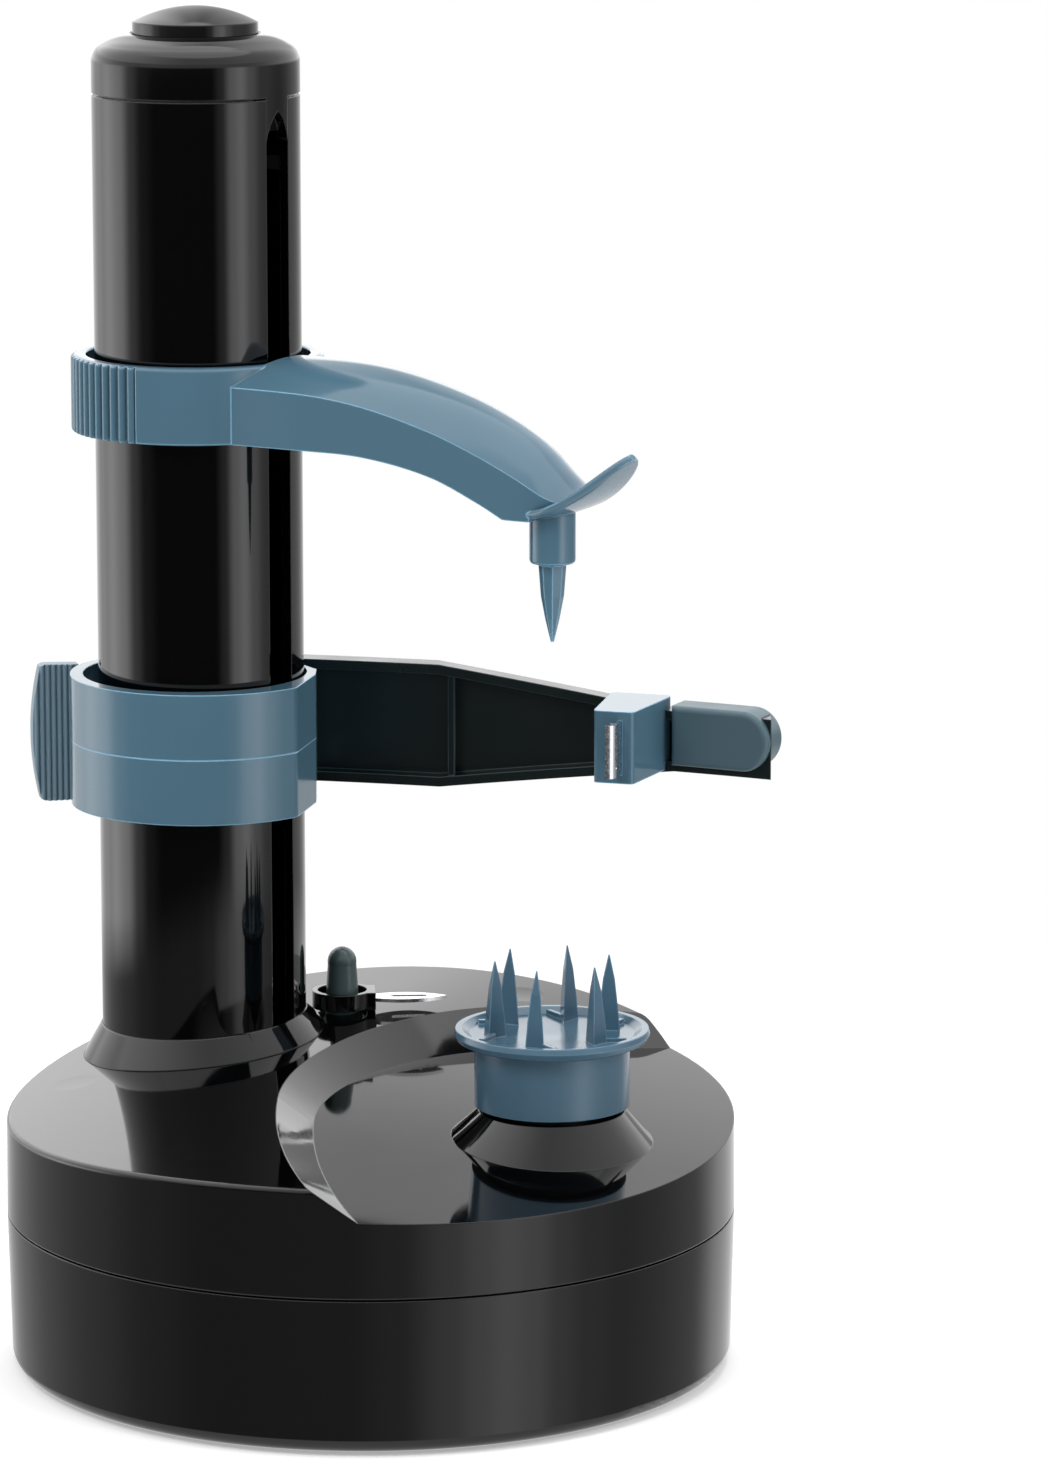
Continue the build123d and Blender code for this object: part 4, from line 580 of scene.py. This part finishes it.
def make_floor():
    mesh = bpy.data.meshes.new("floor")
    half = FLOOR_HALF
    corners = [(-half, -half, 0), (half, -half, 0), (half, half, 0), (-half, half, 0)]
    mesh.from_pydata(corners, [], [(0, 1, 2, 3)])
    floor = staged("floor", mesh, floor_material())
    floor.visible_glossy = False


# ---------------------------------------------------------------- reflections

# what the gloss sees round the object: (heading in degrees from -Y towards +X, strength)
BASE_VIEW = (
    (-180, 0.9), (-138, 0.55), (-119, 0.5), (-92, 0.43), (-70, 0.28), (-50, 0.2), (-8, 0.22), (9, 0.34),
    (25, 0.8), (34, 1.15), (43, 1.45), (52, 1.2), (61, 0.75), (71, 0.5), (85, 0.36), (120, 0.42), (140, 0.9),
    (180, 1.0),
)
TOWER_VIEW = (
    (-180, 1.0), (-140, 1.1), (-128, 1.5), (-108, 2.7), (-92, 2.5), (-76, 0.7), (-62, 0.16), (-45, 0.04),
    (18, 0.04), (30, 0.36), (42, 1.9), (53, 2.5), (66, 1.35), (81, 0.58), (110, 0.28), (141, 0.5), (180, 1.0),
)
DECK_VIEW = ((-180, 1.95), (-120, 1.8), (-60, 0.9), (0, 0.7), (60, 0.9), (120, 1.6), (180, 1.95))
HIGH_VIEW = (
    (-180, 0.8), (-172, 1.1), (-158, 2.4), (-100, 2.2), (0, 1.0), (100, 1.4), (152, 1.8), (172, 1.1),
    (180, 0.8),
)
OVERHEAD = 2.4
VIEW_LIMIT = 3.0
SCREEN_RADIUS = 1.2
SCREEN_FOOT = -0.5
SCREEN_TOP = 2.2
SCREEN_STEPS = 96
# above the base's view, each view fades in between two heights
VIEWS_ABOVE = ((-0.185, -0.160, TOWER_VIEW), (0.17, 0.25, DECK_VIEW), (0.50, 0.60, HIGH_VIEW))
OVERHEAD_FROM = 2.0


def screen_material():
    """Soft light panels whose strength goes by heading and height; only reflections see them."""
    made = Shader("screen_panels")
    split = made.node("ShaderNodeSeparateXYZ")
    made.put(split.inputs[0], made.object_place())
    x, y, z = split.outputs
    heading = made.maths("ARCTAN2", x, made.maths("MULTIPLY", y, -1.0))
    turn = made.ranged(heading, -math.pi, math.pi)

    def view(stops):
        ramp = made.node("ShaderNodeValToRGB", Fac=turn)
        ramp.color_ramp.interpolation = "EASE"
        elements = ramp.color_ramp.elements
        while len(elements) < len(stops):
            elements.new(1.0)
        for element, (degrees, strength) in zip(elements, stops):
            element.position = (degrees + 180) / 360
            element.color = rgba([strength / VIEW_LIMIT] * 3)
        return ramp.outputs["Color"]

    seen = view(BASE_VIEW)
    for low, high, stops in VIEWS_ABOVE:
        seen = made.mixed(made.ranged(z, low, high), seen, view(stops))
    seen = made.mixed(made.ranged(z, OVERHEAD_FROM, SCREEN_TOP), seen, rgba([OVERHEAD / VIEW_LIMIT] * 3))
    made.surface(made.node("ShaderNodeEmission", Color=seen, Strength=VIEW_LIMIT).outputs[0])
    return made.material


def make_screen():
    """A drum of light panels round and over the object, which only its reflections see."""
    mesh = bpy.data.meshes.new("screen")
    made = bmesh.new()
    turns = [2 * math.pi * step / SCREEN_STEPS for step in range(SCREEN_STEPS)]
    circle = [(SCREEN_RADIUS * math.cos(turn), SCREEN_RADIUS * math.sin(turn)) for turn in turns]
    foot, top = [[made.verts.new((x, y, height)) for x, y in circle] for height in (SCREEN_FOOT, SCREEN_TOP)]
    for step in range(SCREEN_STEPS):
        after = (step + 1) % SCREEN_STEPS
        made.faces.new((foot[step], top[step], top[after], foot[after]))
    made.faces.new(top)
    made.to_mesh(mesh)
    made.free()
    screen = staged("screen", mesh, screen_material())
    for way in ("camera", "diffuse", "transmission", "volume_scatter", "shadow"):
        setattr(screen, "visible_" + way, False)


# ---------------------------------------------------------------- light and camera

AMBIENT = 0.55
LIGHT_TARGET = (0.0, 0.0, 0.14)
# name, place, size, watts
LIGHTS = (
    ("key", (-0.7, -0.8, 1.1), (0.7, 0.7), 9.0),
    ("fill", (0.9, -0.6, 0.7), (0.6, 0.6), 4.0),
    ("rim", (0.2, 1.0, 0.9), (0.8, 0.5), 4.0),
    ("top", (0.1, 0.1, 1.3), (0.7, 0.7), 6.0),
)
PHOTO_HEIGHT = 1463
FOCAL_PIXELS = 6500.0
SENSOR = 36.0
CAMERA_PLACE = (0.02787, -1.36999, 0.40246)
CAMERA_LOOKS_DOWN = 10.92
CAMERA_CLIP = (0.05, 50.0)


def make_world():
    """Even light for the object, plain white for the camera, for reflections and through what is clear."""
    world = bpy.data.worlds.new("studio")
    bpy.context.scene.world = world
    world.use_nodes = True
    made = Tree(world.node_tree)
    made.tree.nodes.clear()
    rays = made.node("ShaderNodeLightPath").outputs
    seen = made.maths("MAXIMUM", rays["Is Camera Ray"], rays["Is Transmission Ray"])
    seen = made.maths("MAXIMUM", seen, rays["Is Glossy Ray"])
    ambient = made.node("ShaderNodeBackground", Strength=AMBIENT)
    white = made.node("ShaderNodeBackground", Color=WHITE, Strength=1.0)
    shown = made.either(seen, ambient.outputs[0], white.outputs[0])
    made.put(made.node("ShaderNodeOutputWorld").inputs["Surface"], shown)


def area_light(name, place, size, power):
    light = bpy.data.lights.new(name, "AREA")
    light.shape = "RECTANGLE"
    light.size, light.size_y = size
    light.energy = power
    lamp = bpy.data.objects.new(name, light)
    bpy.context.scene.collection.objects.link(lamp)
    lamp.location = place
    lamp.rotation_euler = (Vector(LIGHT_TARGET) - Vector(place)).to_track_quat("-Z", "Y").to_euler()
    lamp.visible_glossy = False


def make_camera():
    """The photo's view."""
    data = bpy.data.cameras.new("camera")
    data.sensor_fit = "VERTICAL"
    data.sensor_width = SENSOR
    data.sensor_height = SENSOR
    data.lens = FOCAL_PIXELS / PHOTO_HEIGHT * SENSOR
    data.clip_start, data.clip_end = CAMERA_CLIP
    camera = bpy.data.objects.new("camera", data)
    bpy.context.scene.collection.objects.link(camera)
    camera.location = CAMERA_PLACE
    camera.rotation_euler = (math.radians(90 - CAMERA_LOOKS_DOWN), 0, 0)
    bpy.context.scene.camera = camera


make_floor()
make_screen()
make_world()
for name, place, size, power in LIGHTS:
    area_light(name, place, size, power)
make_camera()
bpy.context.scene.view_settings.view_transform = "Standard"
